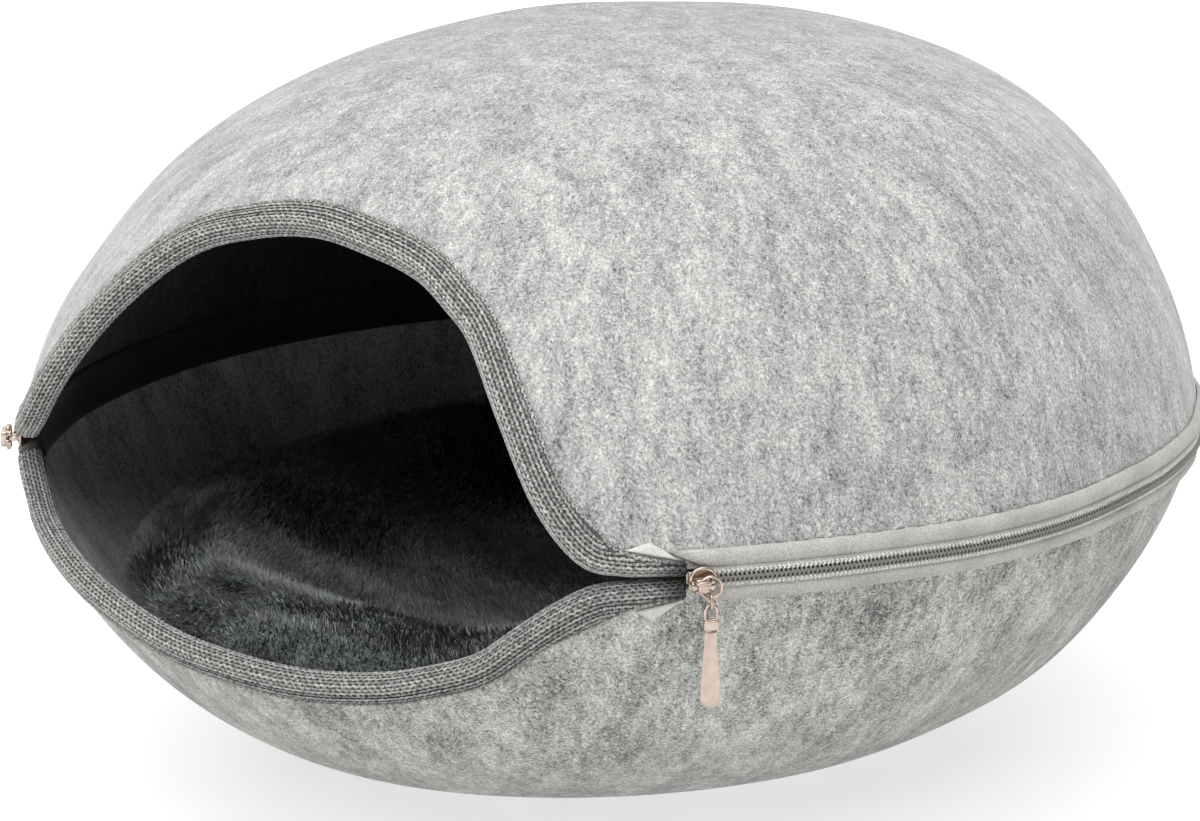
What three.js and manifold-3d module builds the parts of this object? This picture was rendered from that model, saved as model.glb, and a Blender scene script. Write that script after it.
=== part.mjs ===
// Igloo cat bed: a felt dome zipped to a felt bowl round the equator, with an eye-shaped mouth at the front,
// webbing folded over the mouth's two edges, a metal slider with a hanging pull, and a plush pad in the bowl.
// Millimetres, +Z up. The origin is in the middle of the flat base, and the mouth faces -Y.
// An angle round the bed is counted from the middle of the mouth towards +X.
import * as THREE from "three";
import { mergeVertices } from "three/addons/utils/BufferGeometryUtils.js";
import Module from "manifold-3d";

// Overall sizes
const HALF_WIDTH = 200;
const HALF_DEPTH = 222;
const FRONT_NARROWING = 0.03;
const EQUATOR = 111;
const FELT = 5;
const GAP = 0.3;

// The zip line is not quite level: the slider's corner is drawn up a little. at: the angle round the bed.
const ZIP_LINE = [
  { at: -180, lift: 0 },
  { at: 15, lift: 0 },
  { at: 40, lift: 1.6 },
  { at: 48.6, lift: 1.9 },
  { at: 58, lift: 1.7 },
  { at: 66, lift: 1 },
  { at: 75, lift: -0.3 },
  { at: 86, lift: -0.9 },
  { at: 98, lift: 0 },
  { at: 180, lift: 0 },
];

// The shells. rise: from the equator to the pole. waist and power: how steep they leave the equator and how
// full they bulge. setBack: how far the pole lies behind the middle. innermost: the last ring, as a share of
// the plan. edge: from the equator to the felt's cut edge beside the zip. The bowl's last 3 mm are pressed
// flat on the floor.
const DOME = { side: 1, rise: 139, waist: 0.972, power: 2.64, setBack: 28, innermost: 0.1, edge: 3 };
const BOWL = { side: -1, rise: 114, waist: 0.931, power: 3.1, setBack: 4.6, innermost: 0.35, edge: 4 };

// The mouth's cut edges, from its left corner (at -1) by its middle to its right corner (at 1). height: from the
// equator to the cut edge. leg: how far the folded webbing reaches onto the felt there.
const MOUTH_ANGLE = 48.6;
DOME.mouth = [
  { at: -1, height: 3, leg: 2.6 },
  { at: -0.93, height: 6.3, leg: 5.2 },
  { at: -0.85, height: 11.3, leg: 8 },
  { at: -0.76, height: 18.5, leg: 8.8 },
  { at: -0.66, height: 37.1, leg: 8.8 },
  { at: -0.55, height: 63.6, leg: 8.8 },
  { at: -0.4, height: 83, leg: 8.8 },
  { at: -0.2, height: 92.2, leg: 8.8 },
  { at: 0, height: 95.3, leg: 8.8 },
  { at: 0.2, height: 92.6, leg: 8.8 },
  { at: 0.35, height: 87.7, leg: 8.8 },
  { at: 0.45, height: 80.1, leg: 8.8 },
  { at: 0.54, height: 69.5, leg: 8.8 },
  { at: 0.63, height: 48.2, leg: 8.8 },
  { at: 0.72, height: 22.7, leg: 8.8 },
  { at: 0.8, height: 7.5, leg: 9.6 },
  { at: 0.87, height: 4.2, leg: 5 },
  { at: 0.93, height: 3.6, leg: 2.7 },
  { at: 1, height: 3, leg: 1.8 },
];
BOWL.mouth = [
  { at: -1, height: 4, leg: 2.6 },
  { at: -0.93, height: 8.3, leg: 5.2 },
  { at: -0.85, height: 16.5, leg: 6.8 },
  { at: -0.76, height: 20, leg: 6.8 },
  { at: -0.66, height: 22, leg: 6.8 },
  { at: -0.55, height: 25, leg: 6.8 },
  { at: -0.4, height: 31, leg: 6.8 },
  { at: -0.2, height: 37.5, leg: 6.8 },
  { at: 0, height: 40.3, leg: 6.8 },
  { at: 0.2, height: 42.7, leg: 6.8 },
  { at: 0.38, height: 40.3, leg: 6.8 },
  { at: 0.5, height: 35.4, leg: 6.8 },
  { at: 0.6, height: 29.5, leg: 6.8 },
  { at: 0.68, height: 19.5, leg: 7 },
  { at: 0.75, height: 11, leg: 8.6 },
  { at: 0.82, height: 5, leg: 9 },
  { at: 0.9, height: 4, leg: 4 },
  { at: 0.95, height: 4, leg: 2.5 },
  { at: 1, height: 4, leg: 1.8 },
];
DOME.mouthColumns = 30;
BOWL.mouthColumns = 24;
const SHELL_RINGS = 11;

// Webbing folded over the mouth's edges
const WEBBING = 1.5;
const WEBBING_CROWN = 0.3;
const WEBBING_SELVEDGE = 0.9;
const FOLD_REACH = 2.2;
const FOLD_STEPS = 5;
const BINDING_END = 47.4;

// Zip. Each tape is a thin flange beside the coil and a rounded band sewn on the felt. A row gives its distance
// from the equator and how far its under side and its face stand off the shell.
const ZIP_START = 49.2;
const ZIP_COLUMNS = 36;
DOME.tapeRows = [
  { height: 1.3, under: 0.3, face: 1.2 },
  { height: 3.2, under: 0.3, face: 1.2 },
  { height: 3.7, under: 0.3, face: 1.9 },
  { height: 6.1, under: 0.3, face: 2.4 },
  { height: 8.2, under: 0.3, face: 1.9 },
  { height: 8.8, under: 0.3, face: 0.9 },
];
BOWL.tapeRows = [
  { height: 1.3, under: 0.3, face: 1.2 },
  { height: 3.1, under: 0.3, face: 1.2 },
  { height: 3.6, under: 0.3, face: 1.8 },
  { height: 5.4, under: 0.3, face: 2.2 },
  { height: 7, under: 0.3, face: 1.8 },
  { height: 7.5, under: 0.3, face: 0.9 },
];
const TAPE_LEAD = 0.3;
const BAND_FOOT = 3.6;
DOME.bandLean = 0.6;
BOWL.bandLean = 0;
const COIL_ROWS = [
  { height: 1, under: 0.5, face: 1 },
  { height: 0.5, under: 0, face: 1.6 },
  { height: -0.5, under: 0, face: 1.6 },
  { height: -1, under: 0.5, face: 1 },
];

// Dark tape that covers the seam inside
const SEAM_TAPE = 1;
const SEAM_TAPE_ROWS = [
  { shell: DOME, height: 10 },
  { shell: DOME, height: 3 },
  { shell: BOWL, height: 4 },
  { shell: BOWL, height: 10 },
];

// Spare ends of the zip tapes, folded back beside the webbing
const TAPE_END = 0.9;
const UPPER_TAPE_END = [
  { angle: 42.5, height: 10.1 },
  { angle: 47.1, height: 5.9 },
  { angle: 44.3, height: 11.6 },
];
const LOWER_TAPE_END = [
  { angle: 43.2, height: 9.7 },
  { angle: 47.3, height: 6.6 },
  { angle: 44.6, height: 13.7 },
];

// Slider, and the plain box at the zip's other end. x runs along the zip, y up and z out of the bed.
const PLATE_NOSE = { x: -4, half: 4.5 };
const PLATE_TAIL = { x: 4.5, half: 3.2 };
const FRONT_PLATE = { from: 2.1, to: 3.3 };
const BACK_PLATE = { from: -2.1, to: -1.1, half: 2.1 };
const POST = { from: -3.6, to: 1.2, half: 1 };
const BRIDGE = { half: 3, height: 3.4, bar: 1, width: 1.4 };
const BOX_BLOCK = { half: 2.8, face: 5.2 };

// Pull, hanging from the slider's bridge by a ring and a link
const RING = { x: 2.3, y: -1.75, z: 4.4, radius: 3.4, wire: 0.5 };
const LINK = { radius: 2.4, width: 1.6, wire: 0.45, bite: 1.1 };
const EYE = { half: 2.3, length: 5.6, hole: 1.4, bar: 0.9, thickness: 1 };
const COLLAR = { half: 2.3, length: 3.2, thickness: 2.2 };
const PADDLE = { neck: 2, half: 3.2, length: 25.5, thickness: 1.6 };

// Pad. Its sewn edge lies on the bowl's side at PAD_SEAM. A top row gives the height of its upper side at a
// share of its radius, and a fold is a crease where the pad buckles against the bowl.
const PAD_COLUMNS = 36;
const PAD_SEAM = 66;
const PAD_SIDE_GAP = 3.2;
const PAD_UNDER_RINGS = 6;
const PAD_TOP_RINGS = [0.985, 0.955, 0.91, 0.86, 0.79, 0.7, 0.57, 0.4, 0.2];
const PAD_TOP = [
  { at: 0, height: 45 },
  { at: 0.3, height: 47.5 },
  { at: 0.55, height: 58.5 },
  { at: 0.72, height: 73 },
  { at: 0.82, height: 82.5 },
  { at: 0.9, height: 86 },
  { at: 0.96, height: 81 },
  { at: 1, height: PAD_SEAM },
];
const PAD_FOLDS = [
  { angle: 22, at: 0.86, depth: 8, halfAngle: 7, half: 0.14 },
  { angle: -34, at: 0.88, depth: 5, halfAngle: 9, half: 0.13 },
  { angle: 78, at: 0.84, depth: 5, halfAngle: 10, half: 0.15 },
  { angle: 131, at: 0.86, depth: 6, halfAngle: 8, half: 0.14 },
  { angle: -152, at: 0.87, depth: 6, halfAngle: 9, half: 0.14 },
  { angle: -95, at: 0.85, depth: 4, halfAngle: 10, half: 0.15 },
];

// Fineness of curves, and small steps for slopes and for joined metal
const CURVE_STEPS = 5;
const WIRE_SIDES = 8;
const RING_STEPS = 18;
const WALK_STEPS = 6;
const EDGE_SAMPLES = 400;
const NEAR_ANGLE = 0.01;
const NEAR_RADIUS = 1e-4;
const METAL_LAP = 0.4;
const degrees = THREE.MathUtils.degToRad;

// Smooth curve through one column of a table, level at both ends.
function along(rows, column, share) {
  const last = rows.length - 2;
  let i = rows.findIndex((row) => row.at >= share) - 1;
  i = i < 0 ? (share <= rows[0].at ? 0 : last) : Math.min(i, last);
  const slope = (k) =>
    k === 0 || k > last
      ? 0
      : (rows[k + 1][column] - rows[k - 1][column]) / (rows[k + 1].at - rows[k - 1].at);
  const span = rows[i + 1].at - rows[i].at;
  const u = Math.min(Math.max((share - rows[i].at) / span, 0), 1);
  const ease = u * u * (3 - 2 * u);
  const bend = span * u * (1 - u) * ((1 - u) * slope(i) - u * slope(i + 1));
  return rows[i][column] * (1 - ease) + rows[i + 1][column] * ease + bend;
}

// Share of a shell's rise that is reached at a share of the plan's radius.
function bulge(shell, radius) {
  const full = (r) => (1 - (r * shell.waist) ** shell.power) ** (1 / shell.power);
  return (full(radius) - full(1)) / (1 - full(1));
}

// The share of the plan's radius where a shell is a given distance from the equator.
function radiusAt(shell, height) {
  const foot = (1 - shell.waist ** shell.power) ** (1 / shell.power);
  const level = foot + (1 - foot) * (height / shell.rise);
  return (1 - level ** shell.power) ** (1 / shell.power) / shell.waist;
}

// The same angle, counted from -180 to 180.
function signed(angle) {
  return angle > 180 ? angle - 360 : angle;
}

// A point on a shell's outside.
function shellPoint(shell, angle, radius) {
  const turn = degrees(angle);
  const width = HALF_WIDTH * (1 - FRONT_NARROWING * Math.cos(turn));
  const share = bulge(shell, radius);
  const lift = along(ZIP_LINE, "lift", signed(angle)) * (1 - share);
  return new THREE.Vector3(
    radius * width * Math.sin(turn),
    -radius * HALF_DEPTH * Math.cos(turn) + shell.setBack * (1 - radius * radius),
    Math.max(EQUATOR + lift + shell.side * shell.rise * share, 0),
  );
}

// The point with the directions round the shell and away from its pole, and the normal that points out.
function shellFrame(shell, angle, radius) {
  const point = shellPoint(shell, angle, radius);
  const round = shellPoint(shell, angle + NEAR_ANGLE, radius)
    .sub(shellPoint(shell, angle - NEAR_ANGLE, radius))
    .divideScalar(2 * NEAR_ANGLE);
  const outward = shellPoint(shell, angle, radius + NEAR_RADIUS)
    .sub(shellPoint(shell, angle, radius - NEAR_RADIUS))
    .divideScalar(2 * NEAR_RADIUS);
  const normal = round.clone().cross(outward).multiplyScalar(-shell.side).normalize();
  if (point.z === 0) normal.set(0, 0, -1);
  return { point, round, outward, normal };
}

// A point that stands off a shell, given by its distance from the equator.
function offShell(shell, angle, height, off) {
  const { point, normal } = shellFrame(shell, angle, radiusAt(shell, height));
  return point.addScaledVector(normal, off);
}

// Height of the felt's cut edge at an angle, and the point there.
function edgeHeight(shell, angle) {
  const share = signed(angle) / MOUTH_ANGLE;
  return Math.abs(share) < 1 ? Math.max(along(shell.mouth, "height", share), shell.edge) : shell.edge;
}
function edgePoint(shell, angle) {
  return shellPoint(shell, angle, radiusAt(shell, edgeHeight(shell, angle)));
}

// Angles across the mouth, evenly spaced along the cut edge.
function mouthAngles(shell) {
  const last = EDGE_SAMPLES;
  const angles = Array.from({ length: last + 1 }, (_, i) => BINDING_END * ((2 * i) / last - 1));
  const points = angles.map((angle) => edgePoint(shell, angle));
  const lengths = [0];
  for (let i = 1; i <= last; i++) lengths.push(lengths[i - 1] + points[i].distanceTo(points[i - 1]));
  return Array.from({ length: shell.mouthColumns + 1 }, (_, k) => {
    const goal = (lengths[last] * k) / shell.mouthColumns;
    const found = lengths.findIndex((length) => length >= goal);
    const i = found < 0 ? last : Math.max(found, 1);
    const u = (goal - lengths[i - 1]) / (lengths[i] - lengths[i - 1]);
    return angles[i - 1] + u * (angles[i] - angles[i - 1]);
  });
}

// Angles round the zip, from the mouth's right corner by the back to its left corner.
const zipAngles = Array.from(
  { length: ZIP_COLUMNS + 1 },
  (_, i) => ZIP_START + ((360 - 2 * ZIP_START) * i) / ZIP_COLUMNS,
);

// Walks a distance over a shell from an edge, square to that edge, and gives the place reached.
function walk(shell, angle, radius, direction, distance) {
  const heading = direction.clone();
  let place = { angle, radius };
  for (let i = 0; i < WALK_STEPS; i++) {
    const { round, outward, normal } = shellFrame(shell, place.angle, place.radius);
    heading.addScaledVector(normal, -heading.dot(normal)).normalize();
    const [rr, ro, oo] = [round.dot(round), round.dot(outward), outward.dot(outward)];
    const [hr, ho] = [heading.dot(round), heading.dot(outward)];
    const scale = distance / WALK_STEPS / (rr * oo - ro * ro);
    place = {
      angle: place.angle + (hr * oo - ho * ro) * scale,
      radius: place.radius + (ho * rr - hr * ro) * scale,
    };
  }
  return place;
}

// Geometry from triangles of points, turned so that its faces point out.
function solidFrom(triangles) {
  let volume = 0;
  for (const [a, b, c] of triangles) volume += a.dot(b.clone().cross(c));
  const points = triangles.flatMap(([a, b, c]) => (volume > 0 ? [a, b, c] : [a, c, b]));
  return new THREE.BufferGeometry().setFromPoints(points);
}

// The two triangles of a four-sided face, parted along its shorter diagonal.
function quad(a, b, c, d) {
  return a.distanceTo(c) < b.distanceTo(d) ? [[a, b, c], [a, c, d]] : [[a, b, d], [b, c, d]];
}

// Closed solid through loops of points, with a point that closes each end.
function loftSolid(loops, start, end) {
  const triangles = [];
  const count = loops[0].length;
  for (let i = 0; i < count; i++) {
    const next = (i + 1) % count;
    triangles.push([start, loops[0][i], loops[0][next]]);
    triangles.push([end, loops.at(-1)[next], loops.at(-1)[i]]);
    for (let j = 1; j < loops.length; j++) {
      triangles.push(...quad(loops[j - 1][i], loops[j][i], loops[j][next], loops[j - 1][next]));
    }
  }
  return solidFrom(triangles);
}

// Closed sheet between a face and an under side, each given as columns of points.
function sheetSolid(face, under) {
  const triangles = [];
  const columns = face.length - 1;
  const rows = face[0].length - 1;
  for (let i = 0; i < columns; i++) {
    const [here, next, hereUnder, nextUnder] = [face[i], face[i + 1], under[i], under[i + 1]];
    for (let j = 0; j < rows; j++) {
      triangles.push(...quad(here[j], next[j], next[j + 1], here[j + 1]));
      triangles.push(...quad(hereUnder[j], hereUnder[j + 1], nextUnder[j + 1], nextUnder[j]));
    }
    triangles.push(...quad(here[0], hereUnder[0], nextUnder[0], next[0]));
    triangles.push(...quad(here[rows], next[rows], nextUnder[rows], hereUnder[rows]));
  }
  for (let j = 0; j < rows; j++) {
    const [end, endUnder] = [face[columns], under[columns]];
    triangles.push(...quad(face[0][j], face[0][j + 1], under[0][j + 1], under[0][j]));
    triangles.push(...quad(end[j], endUnder[j], endUnder[j + 1], end[j + 1]));
  }
  return solidFrom(triangles);
}

// One moulded shell: the outside, the inside a felt's thickness behind it, and the cut edge between them.
function shellSolid(shell) {
  const angles = [...mouthAngles(shell), ...zipAngles];
  const ring = (j, off) =>
    angles.map((angle) => {
      const edge = radiusAt(shell, edgeHeight(shell, angle));
      const spread = Math.cos(((Math.PI / 2) * j) / (SHELL_RINGS - 1));
      const radius = shell.innermost + (edge - shell.innermost) * spread;
      const { point, normal } = shellFrame(shell, angle, radius);
      return point.addScaledVector(normal, off);
    });
  const rings = Array.from({ length: SHELL_RINGS }, (_, j) => j);
  const outside = rings.map((j) => ring(j, 0)).reverse();
  const inside = rings.map((j) => ring(j, -FELT));
  const pole = shellPoint(shell, 0, 0);
  const innerPole = pole.clone();
  innerPole.z -= shell.side * FELT;
  return loftSolid([...outside, ...inside], pole, innerPole);
}

// Webbing folded over a mouth edge: a leg on the outside, the fold round the cut edge, and a leg on the inside.
function bindingSolid(shell) {
  const face = [];
  const under = [];
  for (const angle of mouthAngles(shell)) {
    const radius = radiusAt(shell, edgeHeight(shell, angle));
    const { point, outward, normal } = shellFrame(shell, angle, radius);
    const tangent = edgePoint(shell, angle + NEAR_ANGLE).sub(edgePoint(shell, angle - NEAR_ANGLE));
    const inFelt = tangent.cross(normal).normalize();
    if (inFelt.dot(outward) > 0) inFelt.negate();
    const leg = along(shell.mouth, "leg", angle / MOUTH_ANGLE);
    const legPoints = [1, 0.5, 0].map((share) => {
      const place = walk(shell, angle, radius, inFelt, leg * share);
      return { share, ...shellFrame(shell, place.angle, place.radius) };
    });
    const at = (spot, off) => spot.point.clone().addScaledVector(spot.normal, off);
    const rise = (spot) => {
      if (spot.share === 1) return WEBBING_SELVEDGE;
      return WEBBING + (spot.share === 0.5 ? WEBBING_CROWN : 0);
    };
    const middle = point.clone().addScaledVector(normal, -FELT / 2);
    const fold = (thickness, reach) =>
      Array.from({ length: FOLD_STEPS }, (_, i) => {
        const turn = (Math.PI * (i + 1)) / (FOLD_STEPS + 1);
        return middle
          .clone()
          .addScaledVector(normal, (FELT / 2 + thickness) * Math.cos(turn))
          .addScaledVector(inFelt, -reach * Math.sin(turn));
      });
    const inner = [...legPoints].reverse();
    face.push([
      ...legPoints.map((spot) => at(spot, GAP + rise(spot))),
      ...fold(GAP + WEBBING, FOLD_REACH),
      ...inner.map((spot) => at(spot, -FELT - GAP - rise(spot))),
    ]);
    under.push([
      ...legPoints.map((spot) => at(spot, GAP)),
      ...fold(GAP, FOLD_REACH - WEBBING),
      ...inner.map((spot) => at(spot, -FELT - GAP)),
    ]);
  }
  return sheetSolid(face, under);
}

// One half of the zip's cloth. Its band starts on a slant beside the slider, where the tape is folded back.
function zipTapeSolid(shell) {
  const slant = (row) => -TAPE_LEAD - Math.max(0, row.height - BAND_FOOT) * shell.bandLean;
  const columnAt = (angle, side, shift) =>
    shell.tapeRows.map((row) => offShell(shell, angle + shift(row), row.height, row[side]));
  const columns = (side) => [
    columnAt(zipAngles[0], side, slant),
    ...zipAngles.map((angle) => columnAt(angle, side, () => 0)),
    columnAt(zipAngles.at(-1), side, () => TAPE_LEAD),
  ];
  return sheetSolid(columns("face"), columns("under"));
}

// The closed coil, as a strip along the equator.
function coilSolid() {
  const columnAt = (angle, side) =>
    COIL_ROWS.map((row) => {
      const { point, normal } = shellFrame(DOME, angle, 1);
      normal.setZ(0).normalize();
      point.z += row.height;
      return point.addScaledVector(normal, row[side]);
    });
  return sheetSolid(
    zipAngles.map((angle) => columnAt(angle, "face")),
    zipAngles.map((angle) => columnAt(angle, "under")),
  );
}

// Tape over the seam, lying on both shells' insides.
function seamTapeSolid() {
  const columnAt = (angle, off) =>
    SEAM_TAPE_ROWS.map((row) => offShell(row.shell, angle, row.height, off));
  return sheetSolid(
    zipAngles.map((angle) => columnAt(angle, -FELT - GAP)),
    zipAngles.map((angle) => columnAt(angle, -FELT - GAP - SEAM_TAPE)),
  );
}

// A folded-back corner of zip tape that lies on a shell.
function tapeEndSolid(shell, corners) {
  const loop = (off) => corners.map((corner) => offShell(shell, corner.angle, corner.height, off));
  const middle = (points) =>
    points.reduce((sum, point) => sum.add(point), new THREE.Vector3()).divideScalar(points.length);
  const under = loop(GAP);
  const face = loop(GAP + TAPE_END);
  return loftSolid([under, face], middle(under), middle(face));
}

// The pad: an underside that follows the bowl, a sewn edge, and a puffed rim round a hollow middle.
function padSolid() {
  const angles = Array.from({ length: PAD_COLUMNS }, (_, i) => (360 * i) / PAD_COLUMNS);
  const seamRadius = radiusAt(BOWL, EQUATOR - PAD_SEAM);
  const underside = Array.from({ length: PAD_UNDER_RINGS }, (_, j) => {
    const share = Math.cos(((Math.PI / 2) * j) / (PAD_UNDER_RINGS - 1));
    const radius = BOWL.innermost + (seamRadius - BOWL.innermost) * share;
    const off = FELT + GAP + PAD_SIDE_GAP * share;
    return angles.map((angle) => {
      const { point, normal } = shellFrame(BOWL, angle, radius);
      return point.addScaledVector(normal, -off);
    });
  }).reverse();
  const middle = shellPoint(BOWL, 0, 0);
  const seam = underside.at(-1);
  const topAt = (at) =>
    seam.map((point, i) => {
      const spot = middle.clone().lerp(point, at);
      spot.z = along(PAD_TOP, "height", at);
      for (const fold of PAD_FOLDS) {
        const turn = (((angles[i] - fold.angle + 540) % 360) - 180) / fold.halfAngle;
        const across = (at - fold.at) / fold.half;
        spot.z -= fold.depth * Math.exp(-turn * turn - across * across);
      }
      return spot;
    });
  const start = middle.clone().setZ(FELT + GAP);
  const end = middle.clone().setZ(PAD_TOP[0].height);
  return loftSolid([...underside, ...PAD_TOP_RINGS.map(topAt)], start, end);
}

const wasm = await Module();
wasm.setup();

// Joins closed geometries into one.
function join(...geometries) {
  const solids = geometries.map((geometry) => {
    const bare = geometry.clone();
    bare.deleteAttribute("normal");
    bare.deleteAttribute("uv");
    const merged = mergeVertices(bare);
    return new wasm.Manifold(
      new wasm.Mesh({
        numProp: 3,
        vertProperties: merged.attributes.position.array,
        triVerts: new Uint32Array(merged.index.array),
      }),
    );
  });
  const mesh = solids.reduce((sum, solid) => sum.add(solid)).getMesh();
  return new THREE.BufferGeometry()
    .setAttribute("position", new THREE.BufferAttribute(mesh.vertProperties, 3))
    .setIndex(new THREE.BufferAttribute(mesh.triVerts, 1));
}

// A flat plate from an outline in x and y, from one z to another.
function plate(shape, from, to) {
  const options = { depth: to - from, bevelEnabled: false, curveSegments: CURVE_STEPS };
  return new THREE.ExtrudeGeometry(shape, options).translate(0, 0, from);
}

// A wire bent into an oval ring, in the plane of x and y.
function wireRing(halfX, halfY, wire) {
  return new THREE.TorusGeometry(halfY, wire, WIRE_SIDES, RING_STEPS).scale(halfX / halfY, 1, 1);
}

// Outline of a slider plate: broad rounded shoulders at the nose, narrower at the tail.
function sliderOutline(most) {
  const nose = Math.min(PLATE_NOSE.half, most);
  const tail = Math.min(PLATE_TAIL.half, most);
  const shape = new THREE.Shape();
  shape.moveTo(PLATE_TAIL.x, -tail);
  shape.lineTo(PLATE_TAIL.x, tail);
  shape.lineTo(PLATE_NOSE.x + nose / 2, nose);
  shape.quadraticCurveTo(PLATE_NOSE.x, nose, PLATE_NOSE.x, nose / 2);
  shape.lineTo(PLATE_NOSE.x, -nose / 2);
  shape.quadraticCurveTo(PLATE_NOSE.x, -nose, PLATE_NOSE.x + nose / 2, -nose);
  return shape;
}

// The two plates and the post between them.
function sliderBody() {
  const post = new THREE.Shape();
  post.moveTo(POST.from, 0);
  post.quadraticCurveTo(POST.from, -POST.half, POST.to, -POST.half);
  post.lineTo(POST.to, POST.half);
  post.quadraticCurveTo(POST.from, POST.half, POST.from, 0);
  return join(
    plate(sliderOutline(PLATE_NOSE.half), FRONT_PLATE.from, FRONT_PLATE.to),
    plate(sliderOutline(BACK_PLATE.half), BACK_PLATE.from, BACK_PLATE.to),
    plate(post, (BACK_PLATE.from + BACK_PLATE.to) / 2, (FRONT_PLATE.from + FRONT_PLATE.to) / 2),
  );
}

// The bridge that holds the ring: a bar that springs from the front plate at both ends.
function bridge() {
  const foot = FRONT_PLATE.to - METAL_LAP;
  const crown = FRONT_PLATE.to + BRIDGE.height;
  const shape = new THREE.Shape();
  shape.moveTo(-BRIDGE.half, foot);
  shape.quadraticCurveTo(-BRIDGE.half, crown, 0, crown);
  shape.quadraticCurveTo(BRIDGE.half, crown, BRIDGE.half, foot);
  shape.lineTo(BRIDGE.half - BRIDGE.bar, foot);
  const under = crown - BRIDGE.bar;
  shape.quadraticCurveTo(BRIDGE.half - BRIDGE.bar, under, 0, under);
  shape.quadraticCurveTo(BRIDGE.bar - BRIDGE.half, under, BRIDGE.bar - BRIDGE.half, foot);
  return plate(shape, -BRIDGE.width / 2, BRIDGE.width / 2).rotateX(Math.PI / 2);
}

// The pull, with the top of its eye at y = 0: eye, collar and a paddle that widens to a round end.
function pullSolid() {
  const eye = new THREE.Shape();
  eye.moveTo(-EYE.half, -EYE.length);
  eye.lineTo(EYE.half, -EYE.length);
  eye.lineTo(EYE.half, -EYE.half);
  eye.absarc(0, -EYE.half, EYE.half, 0, Math.PI, false);
  const hole = new THREE.Path();
  const holeFoot = EYE.half - EYE.length + EYE.bar;
  hole.moveTo(-EYE.hole, holeFoot);
  hole.lineTo(EYE.hole, holeFoot);
  hole.lineTo(EYE.hole, -EYE.half);
  hole.absarc(0, -EYE.half, EYE.hole, 0, Math.PI, false);
  eye.holes.push(hole);
  const collar = new THREE.Shape();
  const collarTop = -EYE.length + METAL_LAP;
  const collarFoot = collarTop - COLLAR.length;
  collar.moveTo(-COLLAR.half, collarTop);
  collar.lineTo(-COLLAR.half, collarFoot);
  collar.lineTo(COLLAR.half, collarFoot);
  collar.lineTo(COLLAR.half, collarTop);
  const paddle = new THREE.Shape();
  const paddleTop = collarFoot + METAL_LAP;
  const roundAt = paddleTop - PADDLE.length + PADDLE.half;
  const waist = (paddleTop + roundAt) / 2;
  paddle.moveTo(-PADDLE.neck, paddleTop);
  paddle.bezierCurveTo(-PADDLE.neck, waist, -PADDLE.half, waist, -PADDLE.half, roundAt);
  paddle.absarc(0, roundAt, PADDLE.half, Math.PI, 2 * Math.PI, false);
  paddle.bezierCurveTo(PADDLE.half, waist, PADDLE.neck, waist, PADDLE.neck, paddleTop);
  return join(
    plate(eye, -EYE.thickness / 2, EYE.thickness / 2),
    plate(collar, -COLLAR.thickness / 2, COLLAR.thickness / 2),
    plate(paddle, -PADDLE.thickness / 2, PADDLE.thickness / 2),
  );
}

const bed = new THREE.Group();

// Adds a named sub-part with its own finish to a group.
function add(group, name, geometry, color, roughness, metalness = 0) {
  const material = new THREE.MeshStandardMaterial({ color, roughness, metalness });
  const mesh = new THREE.Mesh(geometry, material);
  mesh.name = name;
  group.add(mesh);
  return mesh;
}

// A group at a corner of the mouth, with x along the zip, y up and z out of the bed.
function cornerGroup(angle) {
  const { point, normal } = shellFrame(DOME, angle, 1);
  const out = normal.setZ(0).normalize();
  const up = new THREE.Vector3(0, 0, 1);
  const group = new THREE.Group();
  const turn = new THREE.Matrix4().makeBasis(up.clone().cross(out), up, out);
  group.quaternion.setFromRotationMatrix(turn);
  group.position.copy(point);
  bed.add(group);
  return group;
}

const FELT_GREY = 0xb9bab7;
const WEBBING_GREY = 0x8b8c89;
const TAPE_GREY = 0xa5a4a0;
const COIL_GREY = 0x8a8a88;
const SEAM_BLACK = 0x1f1f20;
const ROSE_METAL = 0xd9b8a4;
const PLUSH_GREY = 0x515450;

add(bed, "upper_shell", shellSolid(DOME), FELT_GREY, 0.95);
add(bed, "lower_shell", shellSolid(BOWL), FELT_GREY, 0.95);
add(bed, "upper_binding", bindingSolid(DOME), WEBBING_GREY, 0.85);
add(bed, "lower_binding", bindingSolid(BOWL), WEBBING_GREY, 0.85);
add(bed, "upper_zip_tape", zipTapeSolid(DOME), TAPE_GREY, 0.8);
add(bed, "lower_zip_tape", zipTapeSolid(BOWL), TAPE_GREY, 0.8);
add(bed, "zip_coil", coilSolid(), COIL_GREY, 0.5);
add(bed, "seam_tape", seamTapeSolid(), SEAM_BLACK, 0.9);
add(bed, "upper_tape_end", tapeEndSolid(DOME, UPPER_TAPE_END), TAPE_GREY, 0.8);
add(bed, "lower_tape_end", tapeEndSolid(BOWL, LOWER_TAPE_END), TAPE_GREY, 0.8);
add(bed, "cushion", padSolid(), PLUSH_GREY, 1);

const sliderCorner = cornerGroup(MOUTH_ANGLE);
add(sliderCorner, "zip_slider", join(sliderBody(), bridge()), ROSE_METAL, 0.25, 1);
const ringWire = wireRing(RING.radius, RING.radius, RING.wire);
const ring = add(sliderCorner, "slider_ring", ringWire, ROSE_METAL, 0.2, 1);
ring.position.set(RING.x, RING.y, RING.z);
const linkWire = wireRing(LINK.width, LINK.radius, LINK.wire);
const link = add(sliderCorner, "pull_link", linkWire, ROSE_METAL, 0.2, 1);
link.rotation.y = Math.PI / 2;
link.position.set(RING.x, RING.y - RING.radius - LINK.bite, RING.z);
const pull = add(sliderCorner, "zip_pull", pullSolid(), ROSE_METAL, 0.25, 1);
pull.position.set(RING.x, link.position.y - LINK.bite + EYE.bar / 2, RING.z);

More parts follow.
